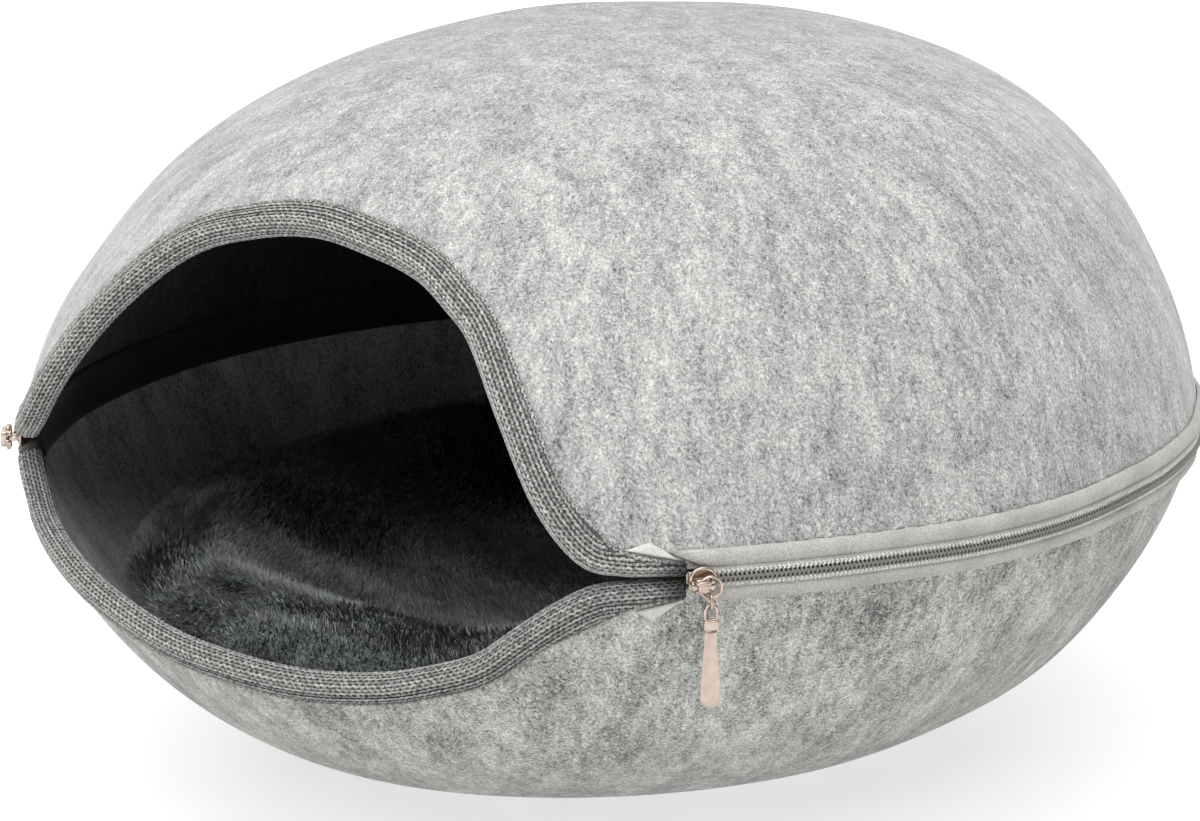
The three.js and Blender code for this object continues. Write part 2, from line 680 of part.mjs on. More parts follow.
const boxCorner = cornerGroup(-MOUTH_ANGLE);
const boxBlock = plate(sliderOutline(BOX_BLOCK.half), FRONT_PLATE.to - METAL_LAP, BOX_BLOCK.face);
const box = add(boxCorner, "zip_box", join(sliderBody(), boxBlock), ROSE_METAL, 0.25, 1);
box.rotation.z = Math.PI;

export default bed;
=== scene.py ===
"""Looks of an igloo cat bed: melange felt shells, folded webbing round the mouth, a coil zip and a plush pad.

Sizes are in millimetres and are the same as in the part's source; each mesh is made in metres.
An angle round the bed is counted in degrees from the middle of the mouth, at -Y, towards +X.
"""

import math
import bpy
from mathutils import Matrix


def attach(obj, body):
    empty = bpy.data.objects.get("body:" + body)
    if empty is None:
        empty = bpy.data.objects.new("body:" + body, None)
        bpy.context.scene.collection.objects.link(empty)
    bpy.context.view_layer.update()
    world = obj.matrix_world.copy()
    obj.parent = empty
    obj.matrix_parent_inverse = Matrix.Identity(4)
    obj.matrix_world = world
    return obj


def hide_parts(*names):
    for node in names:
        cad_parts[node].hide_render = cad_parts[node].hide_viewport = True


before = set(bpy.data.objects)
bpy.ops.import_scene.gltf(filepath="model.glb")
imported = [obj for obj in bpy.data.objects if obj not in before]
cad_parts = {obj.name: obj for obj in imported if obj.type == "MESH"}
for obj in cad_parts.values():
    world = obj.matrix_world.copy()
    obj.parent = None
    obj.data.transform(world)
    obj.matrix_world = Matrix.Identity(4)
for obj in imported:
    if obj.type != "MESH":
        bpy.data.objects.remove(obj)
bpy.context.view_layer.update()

from types import SimpleNamespace

import bpy
import numpy as np
from mathutils import Matrix, Vector

MM = 0.001

# Shells: rise from the equator to the pole, how steep and how full they bulge, how far the pole lies back,
# how far from the equator the felt ends beside the zip, and how the zip tape's band leans at its start.
HALF_WIDTH = 200
HALF_DEPTH = 222
FRONT_NARROWING = 0.03
EQUATOR = 111
FELT = 5
DOME = SimpleNamespace(side=1, rise=139, waist=0.972, power=2.64, set_back=28, edge=3, band_lean=0.6)
BOWL = SimpleNamespace(side=-1, rise=114, waist=0.931, power=3.1, set_back=4.6, edge=4, band_lean=0)

# Clearance between the felt and the cloth that lies on it.
GAP = 0.3

# The zip line is not quite level: angle round the bed, and how far the line is lifted there.
LIFT = 1
ZIP_LINE = np.array(
    [
        (-180, 0), (15, 0), (40, 1.6), (48.6, 1.9), (58, 1.7),
        (66, 1), (75, -0.3), (86, -0.9), (98, 0), (180, 0),
    ]
)

# The mouth's cut edges from its left corner by its middle to its right corner: share of the angle, height
# from the equator to the cut edge, and how far the webbing reaches onto the felt.
MOUTH_ANGLE = 48.6
HEIGHT, LEG = 1, 2
DOME.mouth = np.array(
    [
        (-1, 3, 2.6), (-0.93, 6.3, 5.2), (-0.85, 11.3, 8), (-0.76, 18.5, 8.8), (-0.66, 37.1, 8.8),
        (-0.55, 63.6, 8.8), (-0.4, 83, 8.8), (-0.2, 92.2, 8.8), (0, 95.3, 8.8), (0.2, 92.6, 8.8),
        (0.35, 87.7, 8.8), (0.45, 80.1, 8.8), (0.54, 69.5, 8.8), (0.63, 48.2, 8.8), (0.72, 22.7, 8.8),
        (0.8, 7.5, 9.6), (0.87, 4.2, 5), (0.93, 3.6, 2.7), (1, 3, 1.8),
    ]
)
BOWL.mouth = np.array(
    [
        (-1, 4, 2.6), (-0.93, 8.3, 5.2), (-0.85, 16.5, 6.8), (-0.76, 20, 6.8), (-0.66, 22, 6.8),
        (-0.55, 25, 6.8), (-0.4, 31, 6.8), (-0.2, 37.5, 6.8), (0, 40.3, 6.8), (0.2, 42.7, 6.8),
        (0.38, 40.3, 6.8), (0.5, 35.4, 6.8), (0.6, 29.5, 6.8), (0.68, 19.5, 7), (0.75, 11, 8.6),
        (0.82, 5, 9), (0.9, 4, 4), (0.95, 4, 2.5), (1, 4, 1.8),
    ]
)

# Folded webbing: thickness, how much more it has along the middle of each leg, thickness at the selvedges,
# how far the fold reaches past the felt, and the angle where the binding ends.
WEBBING = 1.5
WEBBING_CROWN = 0.3
WEBBING_SELVEDGE = 0.9
FOLD_REACH = 2.2
BINDING_END = 47.4

# Zip: the angle where it starts, how much sooner the tapes start, where a tape's band begins, and the coil's
# pitch.
ZIP_START = 49.2
TAPE_LEAD = 0.3
BAND_FOOT = 3.6
COIL_PITCH = 1.5

# Spare ends of the tapes: thickness, and corners by their angle and their distance from the equator.
TAPE_END = 0.9
UPPER_TAPE_END = ((42.2, 9.6), (47.2, 5.5), (44.3, 11.8))
LOWER_TAPE_END = ((43.2, 9.7), (47.3, 6.6), (44.6, 13.7))

random = np.random.default_rng(7)


def unit(vectors):
    """Vectors at length one."""
    return vectors / np.linalg.norm(vectors, axis=-1, keepdims=True)


def dot(a, b):
    """Scalar products, kept as a last column."""
    return (a * b).sum(-1, keepdims=True)


def along(table, column, share):
    """Smooth curve through one column of a table, level at both ends."""
    at, value = table[:, 0], table[:, column]
    slope = np.zeros(len(at))
    slope[1:-1] = (value[2:] - value[:-2]) / (at[2:] - at[:-2])
    share = np.clip(share, at[0], at[-1])
    i = np.clip(np.searchsorted(at, share) - 1, 0, len(at) - 2)
    span = at[i + 1] - at[i]
    u = (share - at[i]) / span
    ease = u * u * (3 - 2 * u)
    bend = span * u * (1 - u) * ((1 - u) * slope[i] - u * slope[i + 1])
    return value[i] * (1 - ease) + value[i + 1] * ease + bend


def fullness(shell, radius):
    """The bulge curve of a shell before it is scaled to its rise."""
    return np.maximum(1 - (radius * shell.waist) ** shell.power, 0) ** (1 / shell.power)


def radius_at(shell, height):
    """The share of the plan's radius where a shell is a given distance from the equator."""
    foot = fullness(shell, 1.0)
    level = foot + (1 - foot) * height / shell.rise
    return np.maximum(1 - level**shell.power, 0) ** (1 / shell.power) / shell.waist


def signed(angle):
    """The same angles, counted from -180 to 180."""
    return (angle + 180) % 360 - 180


def shell_point(shell, angle, radius):
    """Points on a shell's outside."""
    turn = np.radians(angle)
    foot = fullness(shell, 1.0)
    bulge = (fullness(shell, radius) - foot) / (1 - foot)
    width = HALF_WIDTH * (1 - FRONT_NARROWING * np.cos(turn))
    x = radius * width * np.sin(turn)
    y = -radius * HALF_DEPTH * np.cos(turn) + shell.set_back * (1 - radius * radius)
    lift = along(ZIP_LINE, LIFT, signed(angle)) * (1 - bulge)
    z = np.maximum(EQUATOR + lift + shell.side * shell.rise * bulge, 0)
    return np.stack(np.broadcast_arrays(x, y, z), -1)


def shell_frame(shell, angle, radius):
    """Points with the directions round the shell and away from its pole, and the normals that point out."""
    turn, reach = 0.01, 1e-4
    point = shell_point(shell, angle, radius)
    round_it = shell_point(shell, angle + turn, radius) - shell_point(shell, angle - turn, radius)
    outward = shell_point(shell, angle, radius + reach) - shell_point(shell, angle, radius - reach)
    round_it, outward = round_it / (2 * turn), outward / (2 * reach)
    normal = unit(-shell.side * np.cross(round_it, outward))
    normal[point[..., 2] == 0] = (0, 0, -1)
    return point, round_it, outward, normal


# Long low waves in the felt, as hand-moulded felt has them: directions with lengths, and starts. They fade
# out towards the floor.
WAVE_COUNT = 9
SHORT_WAVE, LONG_WAVE = 45, 120
WAVE_HEIGHT = 0.16
WAVE_FADE = 25
WAVES = unit(random.normal(size=(WAVE_COUNT, 3)))
WAVES = WAVES * (math.tau / random.uniform(SHORT_WAVE, LONG_WAVE, (WAVE_COUNT, 1)))
WAVE_STARTS = random.uniform(0, math.tau, WAVE_COUNT)


def off_shell(shell, angle, radius, off):
    """Points that stand off a shell's uneven outside, and its normals there."""
    point, _, _, normal = shell_frame(shell, angle, radius)
    waves = np.sin(point @ WAVES.T + WAVE_STARTS).sum(-1) * WAVE_HEIGHT
    waves = waves * np.clip(point[..., 2] / WAVE_FADE, 0, 1)
    return point + normal * (off + waves)[..., None], normal


def edge_height(shell, angle):
    """Distance of the felt's cut edge from the equator."""
    share = signed(angle) / MOUTH_ANGLE
    cut = np.maximum(along(shell.mouth, HEIGHT, share), shell.edge)
    return np.where(np.abs(share) < 1, cut, shell.edge)


def edge_point(shell, angle):
    """Points on the felt's cut edge."""
    return shell_point(shell, angle, radius_at(shell, edge_height(shell, angle)))


def running_length(path):
    """Distance of each point of a path from its start."""
    return np.concatenate([[0], np.cumsum(np.linalg.norm(np.diff(path, axis=0), axis=1))])


def mouth_angles(shell, end, count):
    """Angles across the mouth, evenly spaced along the cut edge."""
    samples = 1600
    angles = np.linspace(-end, end, samples)
    run = running_length(edge_point(shell, angles))
    return np.interp(np.linspace(0, run[-1], count), run, angles)


def walk(shell, angle, radius, direction, distance):
    """Walks a distance over a shell, straight ahead, and gives the places reached."""
    steps = 6
    heading = direction.copy()
    for _ in range(steps):
        _, round_it, outward, normal = shell_frame(shell, angle, radius)
        heading = unit(heading - normal * dot(heading, normal))
        pairs = ((round_it, round_it), (round_it, outward), (outward, outward))
        rr, ro, oo = ((a * b).sum(-1) for a, b in pairs)
        hr, ho = (heading * round_it).sum(-1), (heading * outward).sum(-1)
        scale = distance / steps / (rr * oo - ro * ro)
        angle = angle + (hr * oo - ho * ro) * scale
        radius = radius + (ho * rr - hr * ro) * scale
    return angle, radius


def placed(name, data):
    """A new object in the scene."""
    made = bpy.data.objects.new(name, data)
    bpy.context.scene.collection.objects.link(made)
    return made


def piece(name, points, faces, material, slot, node=None, uv=None, tone=None):
    """A mesh that rides on the bed, from points in millimetres and lists of three- or four-cornered faces."""
    mesh = bpy.data.meshes.new(name)
    corners = np.concatenate([np.asarray(part).ravel() for part in faces]).astype(np.int32)
    sizes = np.concatenate([np.full(len(part), np.asarray(part).shape[1]) for part in faces])
    mesh.vertices.add(len(points))
    mesh.vertices.foreach_set("co", (np.asarray(points) * MM).astype(np.float32).ravel())
    mesh.loops.add(len(corners))
    mesh.loops.foreach_set("vertex_index", corners)
    mesh.polygons.add(len(sizes))
    mesh.polygons.foreach_set("loop_start", (np.cumsum(sizes) - sizes).astype(np.int32))
    mesh.polygons.foreach_set("use_smooth", np.full(len(sizes), True))
    if uv is not None:
        layer = mesh.uv_layers.new(name="cloth")
        layer.data.foreach_set("uv", (uv[corners] * MM).astype(np.float32).ravel())
    if tone is not None:
        layer = mesh.attributes.new("tone", "FLOAT", "POINT")
        layer.data.foreach_set("value", tone.astype(np.float32))
    mesh.update(calc_edges=True)
    mesh.validate()
    mesh.materials.append(material)
    made = placed(name, mesh)
    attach(made, "root")
    if node:
        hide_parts(node)
    return made


# Turns a face of four corners over, with the same first corner.
TURNED = [0, 3, 2, 1]


def grid_faces(columns, rows, closed_columns=False, closed_rows=False):
    """Four-cornered faces of a grid of points that is stored column by column."""
    across, up = columns - (not closed_columns), rows - (not closed_rows)
    i, j = np.meshgrid(np.arange(across), np.arange(up), indexing="ij")
    ahead, beside = (i + 1) % columns, (j + 1) % rows
    corners = [i * rows + j, ahead * rows + j, ahead * rows + beside, i * rows + beside]
    return np.stack(corners, -1).reshape(-1, 4)


def closed_sheet(face, under, faces, rim):
    """Points and faces of a sheet with its under side, closed all along its rim."""
    count = len(face)
    after = np.roll(rim, -1)
    sides = np.stack([rim, rim + count, after + count, after], -1)
    return np.concatenate([face, under]), [faces, faces[:, ::-1] + count, sides]


def sheet_of(face, under):
    """Points and faces of a closed sheet between a face and an under side, each columns by rows of points."""
    columns, rows = face.shape[:2]
    number = np.arange(columns * rows).reshape(columns, rows)
    rim = np.concatenate([number[:, 0], number[-1, 1:], number[-2::-1, -1], number[0, -2:0:-1]])
    return closed_sheet(face.reshape(-1, 3), under.reshape(-1, 3), grid_faces(columns, rows), rim)


def loft_of(loops, middles=None):
    """Points and faces of a closed body through loops of points, with a point that closes each end."""
    steps, count = loops.shape[:2]
    ends = (loops[0].mean(0), loops[-1].mean(0)) if middles is None else middles
    points = np.concatenate([loops.reshape(-1, 3), ends])
    ring = np.arange(count)
    after = np.roll(ring, -1)
    last = (steps - 1) * count
    first_end = np.stack([np.full(count, steps * count), after, ring], -1)
    last_end = np.stack([np.full(count, steps * count + 1), last + ring, last + after], -1)
    sides = grid_faces(steps, count, closed_rows=True)[:, TURNED]
    return points, [sides, np.concatenate([first_end, last_end])]


def joined(*bodies):
    """Points and faces of several bodies as one."""
    points, faces, count = [], [], 0
    for body_points, body_faces in bodies:
        points.append(body_points)
        faces += [np.asarray(part) + count for part in body_faces]
        count += len(body_points)
    return np.concatenate(points), faces


def copies_of(points, faces, centres, axes):
    """Points and faces of a small body set at many centres, each with its own three axes."""
    copies = centres[:, None] + np.einsum("pk,nkc->npc", points, axes)
    shift = np.arange(len(centres))[:, None, None] * len(points)
    return copies.reshape(-1, 3), [(part[None] + shift).reshape(-1, part.shape[1]) for part in faces]


def resampled(path, normals, run, distances):
    """Points, directions and normals at distances along a path whose own points are at those in run."""

    def take(values, at):
        return np.stack([np.interp(at, run, values[:, k]) for k in range(3)], -1)

    step = 0.4
    ahead = unit(take(path, distances + step) - take(path, distances - step))
    normal = take(normals, distances)
    normal = unit(normal - ahead * dot(normal, ahead))
    return take(path, distances), ahead, normal


def linear(colour):
    """An sRGB hex colour as linear red, green, blue and alpha."""
    parts = [int(colour[k : k + 2], 16) / 255 for k in (0, 2, 4)]
    return (*(c / 12.92 if c <= 0.04045 else ((c + 0.055) / 1.055) ** 2.4 for c in parts), 1)


def per_mm(size):
    """Scale of a noise pattern whose grains are about this many millimetres wide."""
    return 1 / (size * MM)


def feed(tree, node, inputs):
    """Gives a node its inputs. An input takes a value, a node's first output or a given output."""
    for key, value in inputs.items():
        if isinstance(value, bpy.types.Node):
            value = value.outputs[0]
        if isinstance(value, bpy.types.NodeSocket):
            tree.links.new(value, node.inputs[key])
        else:
            node.inputs[key].default_value = value


def add(tree, kind, inputs=None, **settings):
    """Adds a shader node with its settings and its inputs."""
    made = tree.nodes.new("ShaderNode" + kind)
    for key, value in settings.items():
        setattr(made, key, value)
    feed(tree, made, inputs or {})
    return made


def surface(name, constants):
    """A new material, its node tree and its shader, with the values that are the same all over it."""
    material = bpy.data.materials.new(name)
    material.use_nodes = True
    tree = material.node_tree
    shader = tree.nodes["Principled BSDF"]
    feed(tree, shader, constants)
    return material, tree, shader


# Moulding draws the felt out: how far from the middle of the bed that starts, the reach that sets a clump's
# width, and how much of the height counts down the sides.
DRAW_START = 150
DRAW_REACH = 200
DRAW_DOWN = 0.4

# How strongly tufts of fibres and clumps of them show in the felt.
TUFT_SHARE, CLUMP_SHARE = 1.4, 0.6


def felt(name, pale, mid, dark, cloudy, evenness):
    """Needle-punched melange felt, dull and woolly: pale and dark fibres in streaks, clumps and clouds."""
    dull = {"Roughness": 0.95, "Specular IOR Level": 0.12, "Sheen Weight": 0.45, "Sheen Roughness": 0.35}
    material, tree, shader = surface(name, dull)
    place = add(tree, "TexCoord").outputs["Object"]
    # Moulded felt is drawn out down its sides, so the clumps there are longer than they are wide.
    level = add(tree, "VectorMath", {0: place, 1: (1, 1, 0)}, operation="MULTIPLY")
    reach = add(tree, "VectorMath", {0: level, 1: level}, operation="DOT_PRODUCT").outputs["Value"]
    eased = add(tree, "Math", {0: reach, 1: (DRAW_START * MM) ** 2}, operation="ADD")
    narrowing = add(tree, "Math", {0: eased, 1: -0.5}, operation="POWER")
    drawn = add(tree, "Math", {0: narrowing, 1: DRAW_REACH * MM}, operation="MULTIPLY")
    round_it = add(tree, "VectorMath", {0: level, "Scale": drawn}, operation="SCALE")
    moulded = add(tree, "VectorMath", {0: place, 1: (0, 0, DRAW_DOWN), 2: round_it}, operation="MULTIPLY_ADD")
    drift = add(tree, "TexNoise", {"Vector": place, "Scale": per_mm(6), "Detail": 1.0})
    sway = add(tree, "VectorMath", {0: drift.outputs["Color"], 1: (3 * MM,) * 3}, operation="MULTIPLY")
    bent = add(tree, "VectorMath", {0: place, 1: sway}, operation="ADD")
    # Real fibres are a few hundredths of a millimetre thick; tufts of them show, about 0.7 mm by 2 mm.
    fine = {"Scale": per_mm(0.68), "Detail": 2.5, "Roughness": 0.65}
    tufts = []
    for turn in ((0.3, 0.9, 0.5), (1.2, -0.6, 2.1), (-0.7, 0.2, 1.2), (0.9, 1.7, -0.4)):
        long = {"Vector": bent, "Rotation": turn, "Scale": (3, 1, 1)}
        lie = add(tree, "Mapping", long, vector_type="TEXTURE")
        tufts.append(add(tree, "TexNoise", {"Vector": lie, **fine}))
    dark_tufts = add(tree, "Math", {0: tufts[0], 1: tufts[1]}, operation="MAXIMUM")
    pale_tufts = add(tree, "Math", {0: tufts[2], 1: tufts[3]}, operation="MAXIMUM")
    mingled = add(tree, "Math", {0: dark_tufts, 1: pale_tufts}, operation="SUBTRACT")
    stronger = add(tree, "Math", {0: mingled, 1: TUFT_SHARE}, operation="MULTIPLY")
    clumps = add(tree, "TexNoise", {"Vector": moulded, "Scale": per_mm(3), "Detail": 2.0, "Roughness": 0.6})
    clouds = add(tree, "TexNoise", {"Vector": moulded, "Scale": per_mm(14), "Detail": 2.0})
    clumped = add(tree, "Math", {0: clumps, 1: CLUMP_SHARE, 2: stronger}, operation="MULTIPLY_ADD")
    clouded = add(tree, "Math", {0: clouds, 1: cloudy, 2: clumped}, operation="MULTIPLY_ADD")
    # Clumps and clouds lie about a half, and tufts about nothing.
    middle = 0.5 * (CLUMP_SHARE + cloudy)
    ends = {"From Min": middle - evenness, "From Max": middle + evenness}
    tones = add(tree, "ValToRGB", {"Fac": add(tree, "MapRange", {"Value": clouded, **ends})})
    tones.color_ramp.elements[0].color = linear(pale)
    tones.color_ramp.elements[1].color = linear(dark)
    tones.color_ramp.elements.new(0.5).color = linear(mid)
    bump = add(tree, "Bump", {"Height": clumped, "Strength": 0.5, "Distance": 0.5 * MM}, invert=True)
    feed(tree, shader, {"Base Color": tones, "Normal": bump})
    return material


def spun_yarn(name, pale, dark, grain):
    """Spun yarn or sewing thread: a dull twisted strand whose tone differs a little from float to float."""
    dull = {"Roughness": 0.85, "Specular IOR Level": 0.25, "Sheen Weight": 0.15}
    material, tree, shader = surface(name, dull)
    # The tone attribute holds each float's own tone; on the webbing it also holds painted shade, in the holes
    # and towards the slider.
    tone = add(tree, "Attribute", attribute_name="tone").outputs["Fac"]
    place = add(tree, "TexCoord").outputs["Object"]
    fuzz = add(tree, "TexNoise", {"Vector": place, "Scale": per_mm(grain), "Detail": 2.0})
    mottled = add(tree, "Math", {0: fuzz, 1: 0.5, 2: tone}, operation="MULTIPLY_ADD")
    share = add(tree, "Math", {0: mottled, 1: 0.25}, operation="SUBTRACT", use_clamp=True)
    mixed = add(tree, "Mix", {0: share, 6: linear(dark), 7: linear(pale)}, data_type="RGBA")
    bump = add(tree, "Bump", {"Height": fuzz, "Strength": 0.4, "Distance": 0.2 * MM})
    feed(tree, shader, {"Base Color": mixed.outputs[2], "Normal": bump})
    return material


# The wave pattern's half period at a scale of one.
HALF_PERIOD = 0.314


def twill_tape(name, pale, dark, rib):
    """Fine polyester twill tape: slanting ribs, a little lighter on their crests as painted light, with a
    faint sheen.
    """
    sleek = {"Roughness": 0.75, "Specular IOR Level": 0.3, "Sheen Weight": 0.2}
    material, tree, shader = surface(name, sleek)
    cloth = add(tree, "TexCoord").outputs["UV"]
    # Real ribs are 0.3 mm apart; they are drawn wider so that they show.
    uneven = {"Distortion": 1.2, "Detail": 1.0, "Detail Scale": 3.0}
    spacing = {"Vector": cloth, "Scale": HALF_PERIOD / (rib * MM)}
    ribs = add(tree, "TexWave", {**spacing, **uneven}, bands_direction="DIAGONAL")
    place = add(tree, "TexCoord").outputs["Object"]
    slubs = add(tree, "TexNoise", {"Vector": place, "Scale": per_mm(0.6), "Detail": 2.0, "Roughness": 0.6})
    clouds = add(tree, "TexNoise", {"Vector": place, "Scale": per_mm(12), "Detail": 3.0})
    # The ribs bump the tape and also lighten its colour on their crests, as painted light.
    ribbed = add(tree, "Math", {0: ribs.outputs["Fac"], 1: 0.16, 2: slubs}, operation="MULTIPLY_ADD")
    cloudy = add(tree, "Math", {0: clouds, 1: 0.5, 2: ribbed}, operation="MULTIPLY_ADD")
    share = add(tree, "MapRange", {"Value": cloudy, "From Min": 0.6, "From Max": 1.05})
    mixed = add(tree, "Mix", {0: share, 6: linear(dark), 7: linear(pale)}, data_type="RGBA")
    bump = add(tree, "Bump", {"Height": ribbed, "Strength": 0.35, "Distance": 0.3 * MM})
    feed(tree, shader, {"Base Color": mixed.outputs[2], "Normal": bump})
    return material


def nylon(name, pale, dark):
    """Extruded nylon filament, wound and heat-set: smooth and slightly glossy, with faint uneven dye."""
    material, tree, shader = surface(name, {"Roughness": 0.4, "IOR": 1.53})
    place = add(tree, "TexCoord").outputs["Object"]
    dye = add(tree, "TexNoise", {"Vector": place, "Scale": per_mm(1.5), "Detail": 2.0})
    mixed = add(tree, "Mix", {0: dye, 6: linear(dark), 7: linear(pale)}, data_type="RGBA")
    feed(tree, shader, {"Base Color": mixed.outputs[2]})
    return material


def plated_zinc(name, bright, dull):
    """Die-cast zinc with a pale rose plating, tumbled smooth: soft gloss, fine scuffs and duller patches of
    wear.
    """
    material, tree, shader = surface(name, {"Metallic": 1.0})
    place = add(tree, "TexCoord").outputs["Object"]
    wear = add(tree, "TexNoise", {"Vector": place, "Scale": per_mm(3), "Detail": 4.0})
    mixed = add(tree, "Mix", {0: wear, 6: linear(dull), 7: linear(bright)}, data_type="RGBA")
    worn_to_smooth = {"From Min": 0.3, "From Max": 0.7, "To Min": 0.34, "To Max": 0.2}
    gloss = add(tree, "MapRange", {"Value": wear, **worn_to_smooth})
    scuffs = add(tree, "TexNoise", {"Vector": place, "Scale": per_mm(0.5), "Detail": 2.0})
    bump = add(tree, "Bump", {"Height": scuffs, "Strength": 0.08, "Distance": 0.1 * MM})
    feed(tree, shader, {"Base Color": mixed.outputs[2], "Roughness": gloss, "Normal": bump})
    return material


def plush(name, pale, dark):
    """Knitted polyester plush: dull ground cloth, and silky pile whose tone differs from tuft to tuft."""
    silky = {"Roughness": 0.7, "Specular IOR Level": 0.3, "Sheen Weight": 0.2, "Sheen Roughness": 0.4}
    material, tree, shader = surface(name, silky)
    tone = add(tree, "Attribute", attribute_name="tone").outputs["Fac"]
    place = add(tree, "TexCoord").outputs["Object"]
    tufts = add(tree, "TexNoise", {"Vector": place, "Scale": per_mm(9), "Detail": 3.0, "Roughness": 0.6})
    mottled = add(tree, "Math", {0: tufts, 1: 1.4, 2: tone}, operation="MULTIPLY_ADD")
    share = add(tree, "Math", {0: mottled, 1: 0.7}, operation="SUBTRACT", use_clamp=True)
    mixed = add(tree, "Mix", {0: share, 6: linear(dark), 7: linear(pale)}, data_type="RGBA")
    bump = add(tree, "Bump", {"Height": tufts, "Strength": 0.5, "Distance": 1 * MM})
    feed(tree, shader, {"Base Color": mixed.outputs[2], "Normal": bump})
    return material


DOME.felt = felt("melange_felt_needled", "e7e7e4", "abacaa", "4e5253", 0.45, 0.45)
BOWL.felt = felt("melange_felt_cloudy", "e8e9e4", "acada9", "484c4b", 0.55, 0.36)
# The insides are drawn in tones of painted light: the dome's inside dark, as painted shade, and the bowl's
# inside paler than its outside, as painted light.
DOME.lining = felt("melange_felt_vault_painted_shade", "4a4d4f", "36393b", "222527", 0.45, 0.34)
BOWL.lining = felt("melange_felt_inside_painted_light", "f2f4f4", "cccfd0", "8a8e8f", 0.8, 0.3)
# The webbing's ground is drawn dark, as painted shade in the net's holes.
WEBBING_SHADED_GROUND = spun_yarn("webbing_ground_painted_shade", "6f706d", "1d1d1c", 0.8)
WEBBING_YARN = spun_yarn("webbing_cord_woven", "dcddd9", "3c3e3b", 0.7)
TAPE_TWILL = twill_tape("polyester_twill_tape", "c6c4c0", "989692", 0.55)
# A paler copy of the twill tape, for the folded spare ends.
TAPE_PALER = twill_tape("polyester_twill_paler", "e0deda", "c4c2bd", 0.55)
STITCH_THREAD = spun_yarn("sewing_thread_spun", "f2f0ec", "b5b3ae", 0.6)
COIL_NYLON = nylon("nylon_coil_heat_set", "92918d", "757471")
# The coil's core is drawn dark, as painted shade in the gaps between the loops.
CORE_SHADE_THREAD = spun_yarn("coil_core_painted_shade", "4a4a48", "262625", 0.6)
SEAM_CLOTH = twill_tape("seam_tape_woven", "3a3a3b", "1e1e1f", 1.2)
ROSE_ZINC = plated_zinc("zinc_rose_plated", "d9cabf", "b4a093")
# Darker zinc for the floor of the slider's hollow: painted shade, where the hollow lies in shadow.
SHADED_ZINC = plated_zinc("zinc_rose_painted_shade", "9c8272", "72594c")
PLUSH_GROUND = plush("plush_ground_knitted", "6b706f", "4a4e4d")
PLUSH_PILE = plush("plush_pile_brushed", "b4b9b8", "3d4241")


def felt_shell(name, shell, node):
    """One moulded felt shell with its cut edge: the outside, and the inside a felt's thickness behind it."""
    mouth_columns, back_columns = 110, 190
    outer_rings, inner_rings = 60, 22
    pole = 0.004
    back = np.linspace(MOUTH_ANGLE, 360 - MOUTH_ANGLE, back_columns)
    angles = np.concatenate([mouth_angles(shell, BINDING_END, mouth_columns), back])
    edge = radius_at(shell, edge_height(shell, angles))

    def side(rings, off):
        """Rings of points from the cut edge to the pole."""
        spread = np.cos(np.linspace(0, math.pi / 2, rings))
        return off_shell(shell, angles, pole + (edge - pole) * spread[:, None], off)[0]

    outside, inside = side(outer_rings, 0), side(inner_rings, -FELT)
    middle = shell_point(shell, 0, 0)
    inner_middle = middle - (0, 0, shell.side * FELT)
    loops = np.concatenate([outside[::-1], inside])
    points, faces = loft_of(loops, (middle, inner_middle))
    if shell is DOME:
        faces = [part[:, ::-1] for part in faces]
    made = piece(name, points, faces, shell.felt, "felt", node)
    # The inside's felt is painted light: painted shade in the dome, a paler felt in the bowl.
    made.data.materials.append(shell.lining)
    columns = len(angles)
    quads = columns * (len(loops) - 1)
    number = np.zeros(len(made.data.polygons), np.int32)
    number[columns * (outer_rings + 1) : quads] = 1
    number[quads + columns :] = 1
    made.data.polygons.foreach_set("material_index", number)
    return made


DOME.piece = felt_shell("upper_felt", DOME, "upper_shell")
BOWL.piece = felt_shell("lower_felt", BOWL, "lower_shell")


def webbing_section(shell, angles):
    """Faces and normals across the folded webbing, from outer selvedge to inner, and each row's thickness."""
    near, leg_rows, fold_rows = 0.01, 9, 13
    radius = radius_at(shell, edge_height(shell, angles))
    _, _, outward, normal = shell_frame(shell, angles, radius)
    tangent = edge_point(shell, angles + near) - edge_point(shell, angles - near)
    in_felt = unit(np.cross(tangent, normal))
    in_felt = np.where(dot(in_felt, outward) > 0, -in_felt, in_felt)
    leg = along(shell.mouth, LEG, angles / MOUTH_ANGLE)
    outer, inner = [], []
    for share in np.linspace(1, 0, leg_rows):
        angle, reach = walk(shell, angles, radius, in_felt, leg * share)
        crown = WEBBING_CROWN * math.sin(math.pi * share)
        thick = WEBBING + crown - (WEBBING - WEBBING_SELVEDGE) * share**6
        face, out = off_shell(shell, angle, reach, GAP + thick)
        back, _ = off_shell(shell, angle, reach, -FELT - GAP - thick)
        outer.append((face, out, thick))
        inner.append((back, -out, thick))
    edge, normal = off_shell(shell, angles, radius, -FELT / 2)
    half = FELT / 2 + GAP + WEBBING
    fold = []
    for turn in np.linspace(0, math.pi, fold_rows)[1:-1]:
        over, past = math.cos(turn), math.sin(turn)
        face = edge + normal * half * over - in_felt * FOLD_REACH * past
        out = unit(normal * over / half - in_felt * past / FOLD_REACH)
        fold.append((face, out, WEBBING))
    faces, outs, thicks = zip(*outer, *fold, *inner[::-1])
    return np.stack(faces, 1), np.stack(outs, 1), np.array(thicks)


def float_body():
    """A yarn float of half length, half width and half height one, bowed down at its ends."""
    sides, station, tip = 4, 0.6, (0.72, 0, -1.1)
    turns = np.linspace(0, math.tau, sides, endpoint=False)
    swell = math.sqrt(1 - station**2)
    across, over = np.cos(turns) * swell, np.sin(turns) * swell - 0.9 * station**2
    loops = [np.stack([np.full(sides, x), across, over], -1) for x in (-station, station)]
    return loft_of(np.array(loops), [np.array(tip) * (-1, 1, 1), tip])


YARN_FLOAT = float_body()


